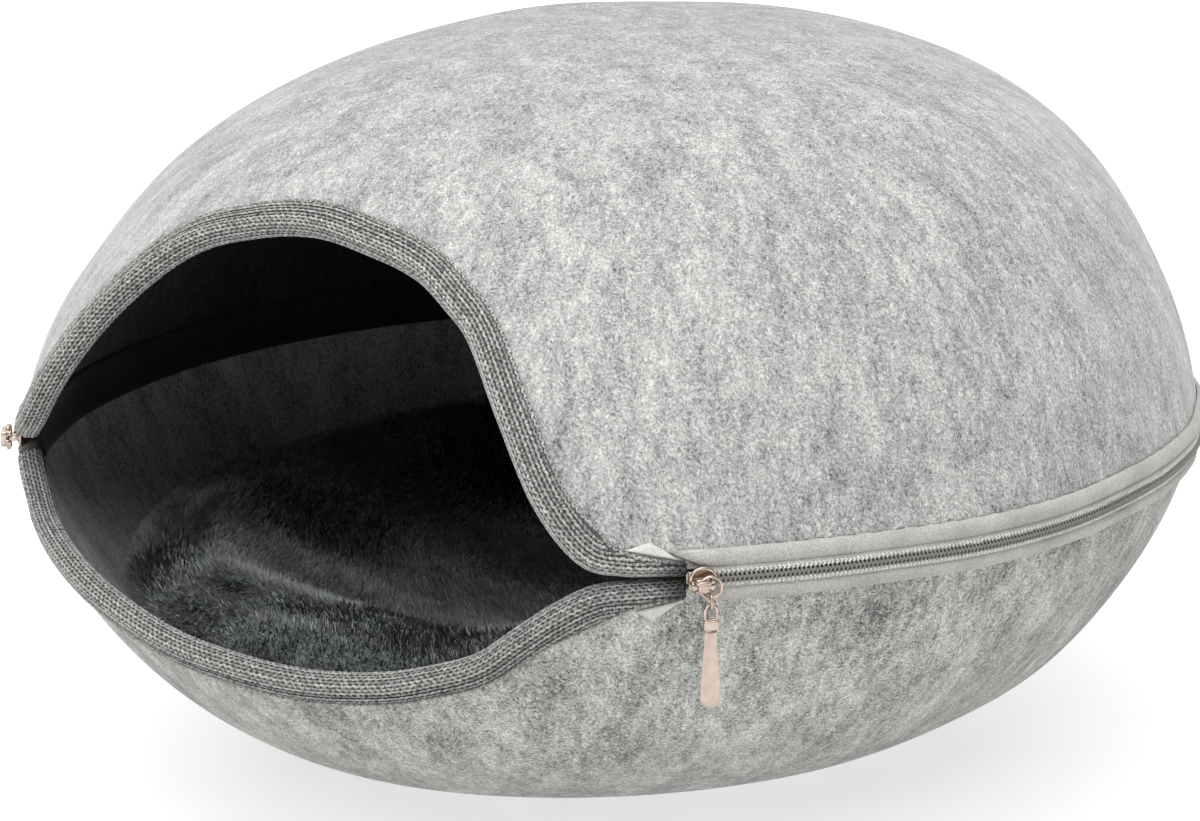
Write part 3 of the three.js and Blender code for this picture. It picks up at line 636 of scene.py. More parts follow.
def floats_on(path, normals, run, at, length, width, height, slant, light):
    """Yarn floats at distances along a path, each a little different: their body and their tones."""
    stray, sway, spread, patchy, sunk = 0.04, 6, 0.08, 0.14, 0.75
    count = len(at)
    centre, ahead, out = resampled(path, normals, run, at + random.normal(0, stray * length, count))
    across = np.cross(out, ahead)
    turn = np.radians(slant + random.normal(0, sway, count))[:, None]
    lie = ahead * np.cos(turn) + across * np.sin(turn)
    over = np.cross(out, lie)
    wide = random.normal(1, spread, (count, 1))
    axes = np.stack([lie * length / 2 * wide, over * width / 2 * wide, out * height * wide], 1)
    made = copies_of(*YARN_FLOAT, centre - out * height * sunk, axes)
    return made, np.repeat(np.clip(random.normal(light, patchy, count), 0, 1), len(YARN_FLOAT[0]))


# The webbing is woven open, like a net: cords run along it, swing to either side and meet their neighbours,
# with holes between them, where the ground is drawn dark as painted shade. Every second cord stands higher
# and is lighter. Along the fold small knots sit on the cords; on the legs the cords run straighter. The net
# is drawn at about the pitch that shows.
YARN_RELIEF = 0.5
NET_PITCH = 2.26
NET_ROW = 1.35
NET_START = 1.25
NET_SWING = 0.38
LEG_SWING = 0.2
CORD_WIDTH = 0.92
CORD_HEIGHT = 0.7
HIGH_CORD = 0.12
HIGH_LIGHT, LOW_LIGHT = 0.52, 0.36
KNOT_ZONE = 6.5
KNOT = dict(length=1.2, width=0.66, height=0.42, slant=-24, light=0.76)
SELVEDGE_INSET = 0.6
SELVEDGE_ROOM = 0.8
SELVEDGE_SWING, SELVEDGE_LIGHT = 0.42, 0.5
# Tone of the ground: dark, as painted shade in the holes.
GROUND_SHADE_TONE = 0.45

# Cords are round enough with four steps to a swing where they show, and with two on the inner leg.
FINE, PLAIN = 4, 2

# Towards the slider the webbing lies deep beside the tape's end, and painted shade darkens it there: over the
# first length it darkens, and in the second it is dark.
CORNER_SHADE_LENGTH = 9
CORNER_FULL_SHADE = 2.5
DEEPEST_GROUND_SHADE = 0.05


def net_cord(path, normals, run, swing, light, fineness):
    """A cord that swings to either side of a path, a little uneven: its body and its tones."""
    spread, stray, patchy, twist = 0.12, 0.07, 0.16, 0.1
    at = np.arange(run[0] // NET_PITCH + NET_START, run[-1] / NET_PITCH, 1 / fineness)
    phase = math.tau * at
    centre, ahead, out = resampled(path, normals, run, at * NET_PITCH)
    across = np.cross(out, ahead)
    heading = unit(ahead + across * (swing * math.tau / NET_PITCH * np.cos(phase))[:, None])
    side = np.cross(out, heading) * CORD_WIDTH / 2 * random.normal(1, spread, (len(at), 1))
    rise = out * CORD_HEIGHT / 2
    uneven = random.normal(0, stray, len(at))
    middle = centre + across * (swing * np.sin(phase) + uneven)[:, None] - rise
    loops = np.stack([middle + rise, middle - side, middle - rise, middle + side], 1)
    tone = np.clip(random.normal(light, patchy, len(at)) + twist * np.cos(2 * phase), 0, 1)
    return loft_of(loops), np.concatenate([np.repeat(tone, 4), tone[[0, -1]]])


def webbing(name, shell, node):
    """Webbing folded over a mouth edge: its ground, drawn dark as painted shade in the holes, and the net of
    pale cords on it.
    """
    columns = 260
    angles = mouth_angles(shell, BINDING_END, columns)
    face, out, thick = webbing_section(shell, angles)
    ground = face - out * (YARN_RELIEF * thick / WEBBING)[:, None]
    points, faces = sheet_of(ground, face - out * thick[:, None])
    run = running_length(edge_point(shell, angles))
    # Painted shade: the ground darkens towards the slider's corner.
    corner_shade = np.clip((run[-1] - run - CORNER_FULL_SHADE) / CORNER_SHADE_LENGTH, DEEPEST_GROUND_SHADE, 1)
    tone = np.tile(np.repeat(GROUND_SHADE_TONE * corner_shade, face.shape[1]), 2)
    base = piece(name, points, faces, WEBBING_SHADED_GROUND, "webbing", node, tone=tone)

    steps = np.linalg.norm(np.diff(face, axis=1), axis=2)
    across = np.concatenate([np.zeros((columns, 1)), np.cumsum(steps, 1)], 1)
    half = across[:, -1] / 2
    across = across - half[:, None]

    def on_row(grid, place, part):
        """A row's values at the angles of one stretch."""
        return np.array([[np.interp(place[i], across[i], grid[i, :, k]) for k in range(3)] for i in part])

    def stretches(place, inset):
        """Points, normals and distances along a row, in each unbroken stretch that fits on the webbing."""
        fits = np.flatnonzero(np.abs(place) <= half - inset)
        for part in np.split(fits, np.flatnonzero(np.diff(fits) > 1) + 1):
            if len(part) and run[part[-1]] - run[part[0]] > 2 * NET_PITCH:
                yield on_row(face, place, part), on_row(out, place, part), run[part]

    strands = []
    rows = int(half.max() / NET_ROW)
    for row in range(-rows, rows + 1):
        place, low = row * NET_ROW, row % 2
        on_fold = abs(place) < KNOT_ZONE
        swing = (NET_SWING if on_fold else LEG_SWING) * (1 if low else -1)
        light = LOW_LIGHT if low else HIGH_LIGHT
        fineness = PLAIN if place > KNOT_ZONE else FINE
        for path, normals, part in stretches(np.full(columns, place), SELVEDGE_INSET + SELVEDGE_ROOM):
            lifted = path + normals * (0 if low else HIGH_CORD)
            strands.append(net_cord(lifted, normals, part, swing, light, fineness))
            if on_fold:
                first = part[0] // NET_PITCH + NET_START + 0.5 * low
                at = np.arange(first, part[-1] / NET_PITCH) * NET_PITCH
                strands.append(floats_on(lifted, normals, part, at, **KNOT))
    for side, fineness in ((-1, FINE), (1, PLAIN)):
        for path, normals, part in stretches(side * (half - SELVEDGE_INSET), SELVEDGE_INSET):
            strands.append(net_cord(path, normals, part, SELVEDGE_SWING, SELVEDGE_LIGHT, fineness))
    bodies, tones = zip(*strands)
    points, faces = joined(*bodies)
    # Painted shade: the cords darken towards the slider's corner too.
    from_corner = np.linalg.norm(points - edge_point(shell, angles[-1:]), axis=1)
    tone = np.concatenate(tones) * np.clip((from_corner - CORNER_FULL_SHADE) / CORNER_SHADE_LENGTH, 0, 1) * shell.yarn_tone
    yarns = piece(name + "_yarns", points, faces, WEBBING_YARN, "webbing", tone=tone)


DOME.yarn_tone, BOWL.yarn_tone = 1.0, 0.84
webbing("upper_webbing", DOME, "upper_binding")
webbing("lower_webbing", BOWL, "lower_binding")

# The tapes' sections: distance from the equator, and how far the face stands off the shell. A flat flange
# beside the coil, a groove, and a rounded band.
DOME.tape_section = np.array(
    [
        (1.3, 0.8), (1.6, 1.0), (2.9, 1.05), (3.2, 0.65), (3.4, 0.6), (3.6, 1.2), (3.95, 1.75),
        (4.7, 2.15), (5.9, 2.35), (7.1, 2.2), (7.9, 1.85), (8.45, 1.3), (8.75, 0.7),
    ]
)
BOWL.tape_section = np.array(
    [
        (1.3, 0.8), (1.6, 1.0), (2.7, 1.05), (3.05, 0.65), (3.25, 0.6), (3.45, 1.15), (3.75, 1.6),
        (4.3, 1.95), (5.3, 2.15), (6.3, 1.95), (6.95, 1.6), (7.3, 1.2), (7.5, 0.7),
    ]
)

# Two rows of slanting stitches run along each flange, either side of this distance from the equator.
DOME.stitches, BOWL.stitches = 1.58, 1.85
STITCH_ROWS = ((-0.34, 30), (0.34, -30))
STITCH_OFF = 1.5
STITCH = dict(length=1.6, width=0.78, height=0.5, light=0.8)

# The band's edge wanders a little: size, rate and start of each wave, and the width over which the band takes
# it up.
RIPPLES = ((0.12, 2.9, 0), (0.08, 7.3, 1))
RIPPLE_FADE = 5


def zip_path(count):
    """Angles round the zip, from the mouth's right corner by the back to its left corner."""
    return np.linspace(ZIP_START, 360 - ZIP_START, count)


def laid_out(run, heights):
    """The cloth's own flat places on both sides of a tape, by length and height."""
    flat = np.stack(np.broadcast_arrays(run[:, None], heights[None]), -1).reshape(-1, 2)
    return np.tile(flat, (2, 1))


def zip_tape(name, shell, node):
    """One half of the zip's cloth: a flat flange beside the coil and a rounded band on the felt."""
    columns, stitch_samples = 420, 700
    heights, offs = shell.tape_section.T
    lead = TAPE_LEAD + np.maximum(0, heights - BAND_FOOT) * shell.band_lean
    angles = np.repeat(zip_path(columns)[:, None], len(heights), 1)
    angles = np.concatenate([angles[:1] - lead, angles, angles[-1:] + TAPE_LEAD])
    ripple = sum(high * np.sin(angles * often + start) for high, often, start in RIPPLES)
    sway = np.clip((heights - BAND_FOOT) / RIPPLE_FADE, 0, 1) * ripple
    radius = radius_at(shell, heights + sway)
    face, _ = off_shell(shell, angles, radius, offs)
    under, _ = off_shell(shell, angles, radius, GAP)
    if shell is DOME:
        face, under = face[::-1], under[::-1]
    points, faces = sheet_of(face, under)
    run = running_length(face[:, 0])
    made = piece(name, points, faces, TAPE_TWILL, "zip_tape", node, uv=laid_out(run, heights))

    strands = []
    for offset, slant in STITCH_ROWS:
        radius = radius_at(shell, shell.stitches + offset)
        path, out = off_shell(shell, zip_path(stitch_samples), radius, STITCH_OFF)
        path_run = running_length(path)
        at = np.arange(0.5 * COIL_PITCH, path_run[-1], COIL_PITCH)
        strands.append(floats_on(path, out, path_run, at, slant=slant * shell.side, **STITCH))
    bodies, tones = zip(*strands)
    tone = np.concatenate(tones)
    stitches = piece(name + "_stitches", *joined(*bodies), STITCH_THREAD, "zip_tape", tone=tone)
    return made, stitches, run[-1] * MM


DOME.tape = zip_tape("upper_tape", DOME, "upper_zip_tape")
BOWL.tape = zip_tape("lower_tape", BOWL, "lower_zip_tape")

# Along a tooth of the coil: distance from the middle line, how far it stands out, and half its width.
TOOTH = np.array(
    [
        (1.5, 0.8, 0.75), (1.2, 1.05, 0.72), (1.05, 1.15, 0.44),
        (0.6, 1.4, 0.42), (0.1, 1.45, 0.47), (-0.45, 1.1, 0.4),
    ]
)
TOOTH_HALF_THICK = 0.3
CORE_HALF_HEIGHT = 1.4
CORE_OFF = 0.55
CORE = 0.4
CORE_SHADE_TONE = 0.5


def zip_coil():
    """The closed coil: nylon loops from both tapes that lock in turn over the middle line, on a core in
    painted shade.
    """
    samples, sides, core_rows, core_step = 900, 4, 5, 3
    path, _, _, normals = shell_frame(DOME, zip_path(samples), 1.0)
    normals = unit(normals * (1, 1, 0))
    run = running_length(path)
    spine, width = TOOTH[:, :2], TOOTH[:, 2]
    turns = np.linspace(0, math.tau, sides, endpoint=False)
    lean = unit(np.gradient(spine, axis=0))
    loops = []
    for (height, off), half, (rise, forth) in zip(spine, width, lean):
        across = np.cos(turns)[:, None] * np.array([half, 0, 0])
        over = np.sin(turns)[:, None] * np.array([0, -forth, rise]) * TOOTH_HALF_THICK
        loops.append(np.array([0, height, off]) + across + over)
    tooth = loft_of(np.array(loops))
    up = np.array([0, 0, 1.0])
    rows = []
    for side, start in ((1, 0.25), (-1, 0.75)):
        at = np.arange(start * COIL_PITCH, run[-1], COIL_PITCH)
        centre, ahead, out = resampled(path, normals, run, at)
        axes = np.stack([ahead, np.broadcast_to(up * side, ahead.shape), out], 1)
        rows.append(copies_of(*tooth, centre, axes))
    piece("coil_loops", *joined(*rows), COIL_NYLON, "zip_coil", "zip_coil")

    heights = np.linspace(CORE_HALF_HEIGHT, -CORE_HALF_HEIGHT, core_rows)[:, None]
    line, out = path[::core_step, None], normals[::core_step, None]
    face = line + heights * up + out * CORE_OFF
    points, faces = sheet_of(face, face - out * CORE)
    # The core's dark tone is painted shade between the loops.
    tone = np.full(len(points), CORE_SHADE_TONE)
    piece("coil_core", points, faces, CORE_SHADE_THREAD, "zip_coil", tone=tone)


zip_coil()

SEAM_TAPE = 1


def seam_tape():
    """Dark woven tape over the seam, lying on both shells' insides."""
    columns = 260
    angles = zip_path(columns)
    rows = [(DOME, h) for h in (10, 7.5, 5, 3)] + [(BOWL, h) for h in (4, 6, 8, 10)]
    sides = []
    for off in (-FELT - GAP, -FELT - GAP - SEAM_TAPE):
        laid = [off_shell(shell, angles, radius_at(shell, h), off)[0] for shell, h in rows]
        sides.append(np.stack(laid, 1))
    points, faces = sheet_of(*sides)
    run = running_length(sides[0][:, 3])
    place = np.array([shell.side * h for shell, h in rows])
    made = piece("seam_band", points, faces, SEAM_CLOTH, "seam_tape", "seam_tape", uv=laid_out(run, place))


seam_tape()

FOLD_EDGE = 0.25
FOLD_SOFTNESS = 7
MM_PER_DEGREE = 3.5


def tape_fold(name, shell, corners, node):
    """A spare end of the zip tape, folded back into a triangle that lies on a shell with soft edges."""
    steps = 12
    spots = [(i, j) for i in range(steps + 1) for j in range(steps + 1 - i)]
    number = {spot: k for k, spot in enumerate(spots)}
    shares = np.array([(i / steps, j / steps, 1 - (i + j) / steps) for i, j in spots])
    angle, height = (shares @ np.array(corners)).T
    edge = np.minimum(shares.min(1) * FOLD_SOFTNESS, 1)
    lift = np.sqrt(1 - (1 - edge) ** 2)
    radius = radius_at(shell, height)
    face, _ = off_shell(shell, angle, radius, GAP + FOLD_EDGE + (TAPE_END - FOLD_EDGE) * lift)
    under, _ = off_shell(shell, angle, radius, GAP)
    triangles = []
    for i, j in spots:
        if i + j < steps:
            triangles.append((number[i, j], number[i + 1, j], number[i, j + 1]))
        if i + j < steps - 1:
            triangles.append((number[i + 1, j], number[i + 1, j + 1], number[i, j + 1]))
    rim = [number[i, 0] for i in range(steps)] + [number[steps - j, j] for j in range(steps)]
    rim = np.array(rim + [number[0, steps - j] for j in range(steps)])
    points, faces = closed_sheet(face, under, np.array(triangles), rim)
    flat = np.stack([angle * MM_PER_DEGREE, height], -1)
    return piece(name, points, faces, TAPE_PALER, "zip_tape", node, uv=np.tile(flat, (2, 1)))


for shell, name, corners, node, cover in (
    (DOME, "upper_tape_fold", UPPER_TAPE_END, "upper_tape_end", 0.85),
    (BOWL, "lower_tape_fold", LOWER_TAPE_END, "lower_tape_end", 0.75),
):
    fold = tape_fold(name, shell, corners, node)


def corner_axes(angle):
    """The zip's middle line at a mouth corner: the point, and x along the zip, y up and z out of the bed."""
    point, _, _, normal = shell_frame(DOME, angle, 1.0)
    out = unit(normal * (1, 1, 0))
    up = np.array([0, 0, 1.0])
    return point, np.stack([np.cross(up, out), up, out])


def rounded_plate(outline, low, high, rounding):
    """A flat metal plate with rounded rims, from an outline in x and y."""
    rim_steps, flat_share = 9, 0.97
    before, after = np.roll(outline, 1, 0), np.roll(outline, -1, 0)
    edge = unit(after - before)
    inward = np.stack([-edge[:, 1], edge[:, 0]], -1)
    loops = []
    for turn in np.linspace(-math.pi / 2, math.pi / 2, rim_steps):
        level = low + rounding if turn < 0 else high - rounding
        inset = outline + inward * rounding * (1 - math.cos(turn))
        loops.append(np.column_stack([inset, np.full(len(outline), level + rounding * math.sin(turn))]))
    flat = []
    for loop in (loops[0], loops[-1]):
        middle = loop.mean(0)
        flat.append(middle + (loop - middle) * flat_share)
    points, faces = loft_of(np.array([flat[0], *loops, flat[1]]))
    return points, [part[:, ::-1] for part in faces]


def squared(values, power):
    """Values from -1 to 1 pushed out to both ends, as for a softly squared section."""
    return np.sign(values) * np.abs(values) ** power


def bent_bar(path, sideways, half_width, half_height, closed=False):
    """A bar of softly squared section bent along a path; sideways is square to the whole path."""
    softness, sides = 0.65, 12
    ahead = np.roll(path, -1, 0) - np.roll(path, 1, 0) if closed else np.gradient(path, axis=0)
    side = np.broadcast_to(sideways, path.shape)
    over = unit(np.cross(unit(ahead), side))
    turns = np.linspace(0, math.tau, sides, endpoint=False)
    wide = squared(np.cos(turns), softness)[:, None] * half_width
    high = squared(np.sin(turns), softness)[:, None] * half_height
    loops = path[:, None] + side[:, None] * wide + over[:, None] * high
    if not closed:
        return loft_of(loops)
    return loops.reshape(-1, 3), [grid_faces(len(path), sides, True, True)[:, TURNED]]


def smooth_outline(corners, rounding):
    """A closed outline through corners, each rounded off."""
    steps = 5
    corners = np.array(corners, float)
    points = []
    for before, here, after in zip(np.roll(corners, 1, 0), corners, np.roll(corners, -1, 0)):
        start = here + unit(before - here) * min(rounding, np.linalg.norm(before - here) / 2)
        end = here + unit(after - here) * min(rounding, np.linalg.norm(after - here) / 2)
        for u in np.linspace(0, 1, steps):
            points.append((1 - u) ** 2 * start + 2 * u * (1 - u) * here + u * u * end)
    return np.array(points)


def fitted(name, body, angle, node=None, material=ROSE_ZINC):
    """A metal piece in its place at a corner of the mouth."""
    origin, axes = corner_axes(angle)
    points, faces = body
    piece(name, origin + points @ axes, faces, material, "rose_metal", node)


def arch(half_x, rise, foot):
    """Points of an arch in x and y that stands on the slider's middle line, from left to right."""
    count, middle = 25, 0.25
    turns = np.linspace(math.pi, 0, count)
    return np.column_stack([middle + half_x * np.cos(turns), foot + rise * np.sin(turns) ** 0.8])


def slider_body():
    """A slider: back plate, post, two nose lobes, and a front with a pouch below and an arched rim above."""
    bag = [(4.5, -2.6), (4.5, 0.7), (-3.5, 0.7), (-3.7, -2.2), (-1.8, -4.4), (2.4, -4.4)]
    pouch = smooth_outline(bag, 1.7)
    back = smooth_outline([(4.5, -2.1), (4.5, 2.1), (-4, 2.1), (-4, -2.1)], 1.0)
    post = smooth_outline([(1.2, -1), (1.2, 1), (-3.6, 0.6), (-3.6, -0.6)], 0.4)
    lobe = smooth_outline([(-2.7, 0.9), (-2.7, 3.0), (-4.2, 2.8), (-4.2, 1.1)], 0.7)
    rim = arch(3.9, 3.8, 0.2)
    return joined(
        rounded_plate(pouch, 2.0, 3.6, 0.7),
        rounded_plate(back, -2.1, -1.1, 0.35),
        rounded_plate(post, -1.6, 2.2, 0.1),
        rounded_plate(lobe, 1.3, 2.6, 0.4),
        rounded_plate(lobe[::-1] * (1, -1), 1.3, 2.6, 0.4),
        bent_bar(np.column_stack([rim, np.full(len(rim), 2.75)]), (0, 0, 1), 0.65, 0.55),
    )


def slider_hollow():
    """The floor of the opening under the slider's arched rim."""
    return rounded_plate(arch(3.6, 3.4, 0.3)[::-1], 1.5, 1.9, 0.1)


def slider_bridge():
    """The bar over the slider's front that holds the ring."""
    u = np.linspace(-1, 1, 25)
    x = squared(u, 0.8) * 2.5
    z = 3.0 + 3.2 * np.maximum(1 - np.abs(u) ** 2.6, 0) ** 0.6
    return bent_bar(np.column_stack([x, np.zeros(len(u)), z]), (0, 1, 0), 0.7, 0.5)


def wire_ring(centre, half_x, half_y, wire, turned):
    """A round wire bent into a closed ring; turned sets it edge on."""
    bends, sides = 44, 12
    turns = np.linspace(0, math.tau, bends, endpoint=False)
    ways = np.linspace(0, math.tau, sides, endpoint=False)[:, None]
    flat = np.column_stack([np.cos(turns) * half_x, np.sin(turns) * half_y, np.zeros(bends)])
    out = unit(np.column_stack([np.cos(turns) / half_x, np.sin(turns) / half_y, np.zeros(bends)]))
    section = out[:, None] * np.cos(ways) + np.array([0, 0, 1.0]) * np.sin(ways)
    points = (flat[:, None] + wire * section).reshape(-1, 3)
    if turned:
        points = points[:, [2, 1, 0]] * (1, 1, -1)
    return points + centre, [grid_faces(bends, sides, True, True)]


RING_X, RING_Y, RING_Z = 2.3, -1.75, 4.4
RING_RADIUS = 3.4
RING_WIRE = 0.5
LINK_HALF_X, LINK_HALF_Y = 1.6, 2.4
LINK_WIRE = 0.45
LINK_BITE = 1.1
LINK_Y = RING_Y - RING_RADIUS - LINK_BITE
PULL_Y = LINK_Y - LINK_BITE + LINK_WIRE


def zip_pull():
    """The pull: an eye, a collar, and a flat paddle that widens to a round end."""
    turns = np.linspace(0, math.pi, 15)
    arc = np.column_stack([1.85 * np.cos(turns), -2.3 + 1.85 * np.sin(turns)])
    foot = np.array([(-1.85, -3.6), (-1.85, -4.8), (-1, -5.15), (1, -5.15), (1.85, -4.8), (1.85, -3.6)])
    eye = np.column_stack([np.concatenate([arc, foot]), np.zeros(len(arc) + len(foot))])
    collar = smooth_outline([(2.3, -8.4), (2.3, -5.2), (-2.3, -5.2), (-2.3, -8.4)], 0.7)
    neck, half, half_thick, top, low = 2.0, 3.2, 0.8, -8.0, -30.3
    u = np.linspace(0, 1, 16)
    turns = np.linspace(0, 0.48 * math.pi, 10)[1:]
    reach = np.concatenate([top + (low - top) * u, low - half * np.sin(turns)])
    width = np.concatenate([neck + (half - neck) * u * u * (3 - 2 * u), half * np.cos(turns)])
    thick = np.concatenate([np.full(len(u), half_thick), half_thick * np.cos(turns) ** 0.4])
    ways = np.linspace(0, math.tau, 24, endpoint=False)
    across, forth = width[:, None] * squared(np.cos(ways), 0.8), thick[:, None] * np.sin(ways)
    paddle = loft_of(np.stack(np.broadcast_arrays(across, reach[:, None], forth), -1))
    ring = bent_bar(eye, (0, 0, 1), 0.5, 0.45, closed=True)
    points, faces = joined(ring, rounded_plate(collar, -1.1, 1.1, 0.5), paddle)
    return points + (RING_X, PULL_Y, RING_Z), faces


ring = wire_ring((RING_X, RING_Y, RING_Z), RING_RADIUS, RING_RADIUS, RING_WIRE, False)
link = wire_ring((RING_X, LINK_Y, RING_Z), LINK_HALF_X, LINK_HALF_Y, LINK_WIRE, True)
fitted("slider_plates", joined(slider_body(), slider_bridge()), MOUTH_ANGLE, "zip_slider")
# The hollow's floor is drawn in darker zinc, as painted shade.
fitted("slider_hollow", slider_hollow(), MOUTH_ANGLE, material=SHADED_ZINC)
fitted("ring_wire", ring, MOUTH_ANGLE, "slider_ring")
fitted("link_wire", link, MOUTH_ANGLE, "pull_link")
fitted("pull_paddle", zip_pull(), MOUTH_ANGLE, "zip_pull")
block = smooth_outline([(4.5, -2.8), (4.5, 2.8), (-4, 2.8), (-4, -2.8)], 1.2)
box_points, box_faces = joined(slider_body(), rounded_plate(block, 2.9, 5.2, 0.5))
fitted("end_box", (box_points * (-1, -1, 1), box_faces), -MOUTH_ANGLE, "zip_box")


def rows_of(items, key, kind=np.float32):
    """Three values of each vertex, normal or triangle of a mesh, as rows."""
    values = np.zeros(len(items) * 3, kind)
    items.foreach_get(key, values)
    return values.reshape(-1, 3)


def apply_modifiers(made):
    """Turns a piece's modifiers into its mesh."""
    seen = made.evaluated_get(bpy.context.evaluated_depsgraph_get())
    mesh = bpy.data.meshes.new_from_object(seen)
    made.modifiers.clear()
    made.data = mesh


# The pad starts as its solid, smaller all round and evenly meshed. Its filling puffs it up by no more than
# the cap.
PAD_SHRINK = 4.5
PAD_VOXEL = 6
PAD_CAP = 4.5
PUFF_STEPS = 20
PAD_LIGHT = 0.4


def plush_pad():
    """The filled pad: its solid, a little smaller, puffed up as cloth by the pressure of its filling."""
    pad = placed("plush_pad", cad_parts["cushion"].data.copy())
    pad.data.materials.clear()
    remesh = pad.modifiers.new("even", "REMESH")
    remesh.mode, remesh.voxel_size = "VOXEL", PAD_VOXEL * MM
    apply_modifiers(pad)
    normals = rows_of(pad.data.vertex_normals, "vector")
    start = rows_of(pad.data.vertices, "co") - normals * PAD_SHRINK * MM
    pad.data.vertices.foreach_set("co", start.ravel())
    pad.data.update()
    cloth = pad.modifiers.new("filling", "CLOTH")
    cloth.settings.use_pressure = True
    cloth.settings.uniform_pressure_force = 4
    cloth.settings.effector_weights.gravity = 0
    cloth.settings.tension_stiffness = 12
    cloth.settings.bending_stiffness = 0.6
    for step in range(1, PUFF_STEPS + 1):
        bpy.context.scene.frame_set(step)
    apply_modifiers(pad)
    bpy.context.scene.frame_set(1)
    shift = rows_of(pad.data.vertices, "co") - start
    far = np.linalg.norm(shift, axis=1, keepdims=True)
    shift *= np.minimum(1, PAD_CAP * MM / np.maximum(far, 1e-9))
    pad.data.vertices.foreach_set("co", (start + shift).ravel())
    pad.data.update()
    finer = pad.modifiers.new("finer", "SUBSURF")
    finer.levels = finer.render_levels = 1
    apply_modifiers(pad)
    pad.data.polygons.foreach_set("use_smooth", np.full(len(pad.data.polygons), True))
    pad.data.materials.append(PLUSH_GROUND)
    tone = pad.data.attributes.new("tone", "FLOAT", "POINT")
    tone.data.foreach_set("value", np.full(len(pad.data.vertices), PAD_LIGHT, np.float32))
    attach(pad, "root")
    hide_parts("cushion")
    return pad


# Pile: real fibres are far finer, so locks of them are drawn. They lean with the nap, stand on what faces up
# or sideways, and are denser in front of the edge, where they show.
PILE_LENGTH = 5.2
LOCK_WIDTH = 0.52
PILE_ROOT = 0.4
FRONT_EDGE = -60
FRONT_LOCKS, OTHER_LOCKS = 70000, 100000
LOWEST_FACING = -0.35
NAP = np.array([0.3, -0.35, 0.35])
SWIRL, NAP_STRAY = 0.5, 0.2
SHORTEST, LONGEST = 0.7, 1.15
NARROWEST, WIDEST = 0.7, 1.3
STAND, LEAN, TIP_STRAY = 0.5, 0.7, 0.09
LOCK_LIGHT, LOCK_PATCHY = 0.55, 0.16
# Lock tips are drawn lighter, as painted light, and roots darker, as painted shade.
PAINTED_TIP_LIGHT, PAINTED_ROOT_SHADE = 0.2, -0.25
LIT_LEAN, LIT_STRAY = 0.6, 0.4


def plush_pile(name, pad, in_front, count):
    """Brushed pile, short and dense, on the front or the rest of the pad's top and rim."""
    mesh = pad.data
    mesh.calc_loop_triangles()
    corners = rows_of(mesh.loop_triangles, "vertices", np.int32)
    points, normals = rows_of(mesh.vertices, "co") / MM, rows_of(mesh.vertex_normals, "vector")
    a, b, c = (points[corners[:, k]] for k in range(3))
    area = np.linalg.norm(np.cross(b - a, c - a), axis=1) / 2
    facing = normals[corners].mean(1)
    middle = (a + b + c) / 3
    weight = area * (facing[:, 2] > LOWEST_FACING) * ((middle[:, 1] < FRONT_EDGE) == in_front)
    chosen = random.choice(len(corners), count, p=weight / weight.sum())
    share = random.dirichlet((1, 1, 1), count)
    root = np.einsum("nk,nkc->nc", share, points[corners[chosen]])
    out = unit(np.einsum("nk,nkc->nc", share, normals[corners[chosen]]))
    # The nap swirls slowly, in waves of about 80 to 130 mm.
    x, y = root[:, 0], root[:, 1]
    swirl = np.stack([np.sin(y / 17 + 1), np.sin(x / 21), np.sin(x / 13 + 2)], -1)
    nap = NAP + SWIRL * swirl + random.normal(0, NAP_STRAY, (count, 3))
    nap = nap - out * dot(nap, out)
    length = PILE_LENGTH * random.uniform(SHORTEST, LONGEST, (count, 1))
    half_width = LOCK_WIDTH / 2 * random.uniform(NARROWEST, WIDEST, (count, 1))
    side = unit(np.cross(out, nap + 1e-4)) * half_width
    foot = root - out * PILE_ROOT
    tip = foot + length * (out * STAND + nap * LEAN + random.normal(0, TIP_STRAY, (count, 3)))
    verts = np.stack([foot - side, foot + side, tip], 1)
    # Painted light along each lock: a lighter tip and a shaded root.
    tone = random.normal(LOCK_LIGHT, LOCK_PATCHY, (count, 1)) + [[PAINTED_ROOT_SHADE, PAINTED_ROOT_SHADE, PAINTED_TIP_LIGHT]]
    locks = np.arange(count * 3).reshape(-1, 3)
    tone = np.clip(tone, 0, 1).ravel()
    made = piece(name, verts.reshape(-1, 3), [locks], PLUSH_PILE, "plush", tone=tone)
    # A lock stands for many fibres, so it takes the light in its own way and not as a flat blade.
    lit = unit(out + LIT_LEAN * nap + random.normal(0, LIT_STRAY, (count, 3)))
    made.data.normals_split_custom_set_from_vertices(np.repeat(lit, 3, 0))


pad = plush_pad()
plush_pile("plush_pile_front", pad, True, FRONT_LOCKS)
plush_pile("plush_pile_rest", pad, False, OTHER_LOCKS)

# Lights: strength, and how each is turned from shining straight down.
SUNS = {"overhead": (3.2, (23, 4, 0)), "behind": (1.0, (-45, 0, 37))}
SUN_SPREAD = 75
SURROUND = 0.3

# Camera: the photograph's size, its point straight ahead and its focal length in pixels; the camera's angle
# round the bed and up, its distance in metres from the bed's middle at the equator, and its sensor's width.
PHOTO_WIDTH, PHOTO_HEIGHT = 1200, 821
AHEAD_X, AHEAD_Y = 608.8, 416.5
FOCAL = 3947
CAMERA_TURN, CAMERA_TILT = 37.39, 14.38
CAMERA_DISTANCE = 1.4
SENSOR = 36


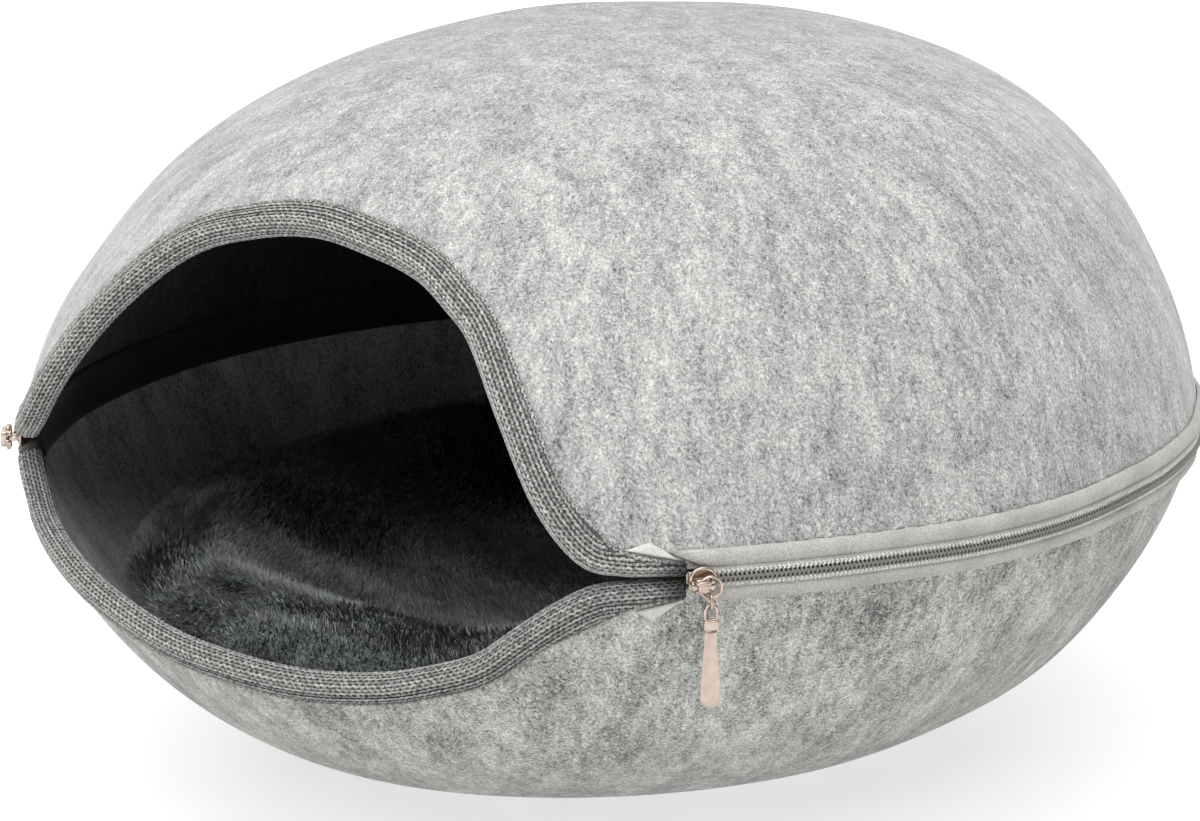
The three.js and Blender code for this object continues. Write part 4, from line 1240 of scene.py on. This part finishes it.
def floor():
    """Opal acrylic lit from below, as on a light table: it glows most seen low, so shadows stay faint."""
    half, low_glow_share, glow_all_over = 30.0, 0.75, 0.32
    mesh = bpy.data.meshes.new("floor")
    corners = [(-half, -half, 0), (half, -half, 0), (half, half, 0), (-half, half, 0)]
    mesh.from_pydata(corners, [], [(0, 1, 2, 3)])
    placed("floor", mesh)
    lit = {"Roughness": 0.6, "Emission Color": linear("ffffff")}
    material, tree, shader = surface("acrylic_opal_lit", lit)
    facing = add(tree, "LayerWeight", {"Blend": 0.5}).outputs["Facing"]
    low_glow = add(tree, "Math", {0: facing, 1: 2.0}, operation="POWER")
    glow = add(tree, "Math", {0: low_glow, 1: low_glow_share, 2: glow_all_over}, operation="MULTIPLY_ADD")
    place = add(tree, "TexCoord").outputs["Object"]
    cloud = add(tree, "TexNoise", {"Vector": place, "Scale": per_mm(700), "Detail": 1.0})
    mixed = add(tree, "Mix", {0: cloud, 6: linear("a6a6a5"), 7: linear("aaaaa9")}, data_type="RGBA")
    feed(tree, shader, {"Base Color": mixed.outputs[2], "Emission Strength": glow})
    mesh.materials.append(material)


def lights():
    """Soft light from above and behind, and a white surround."""
    world = bpy.data.worlds.new("studio")
    world.use_nodes = True
    surround = {"Color": linear("ffffff"), "Strength": SURROUND}
    feed(world.node_tree, world.node_tree.nodes["Background"], surround)
    bpy.context.scene.world = world
    for name, (energy, turned) in SUNS.items():
        sun = bpy.data.lights.new(name, "SUN")
        sun.energy = energy
        sun.angle = math.radians(SUN_SPREAD)
        placed(name, sun).rotation_euler = [math.radians(turn) for turn in turned]
    bpy.context.scene.view_settings.view_transform = "Standard"


def camera():
    """The photograph's camera."""
    turn, tilt = math.radians(CAMERA_TURN), math.radians(CAMERA_TILT)
    back = Vector((math.sin(turn) * math.cos(tilt), -math.cos(turn) * math.cos(tilt), math.sin(tilt)))
    lens = bpy.data.cameras.new("camera")
    lens.sensor_width = SENSOR
    lens.lens = FOCAL / PHOTO_WIDTH * SENSOR
    lens.shift_x = (PHOTO_WIDTH / 2 - AHEAD_X) / PHOTO_WIDTH
    lens.shift_y = (AHEAD_Y - PHOTO_HEIGHT / 2) / PHOTO_WIDTH
    made = placed("camera", lens)
    aim = (-back).to_track_quat("-Z", "Y").to_matrix().to_4x4()
    made.matrix_world = Matrix.Translation(Vector((0, 0, EQUATOR * MM)) + back * CAMERA_DISTANCE) @ aim
    bpy.context.scene.camera = made


floor()
lights()
camera()


bpy.context.view_layer.update()
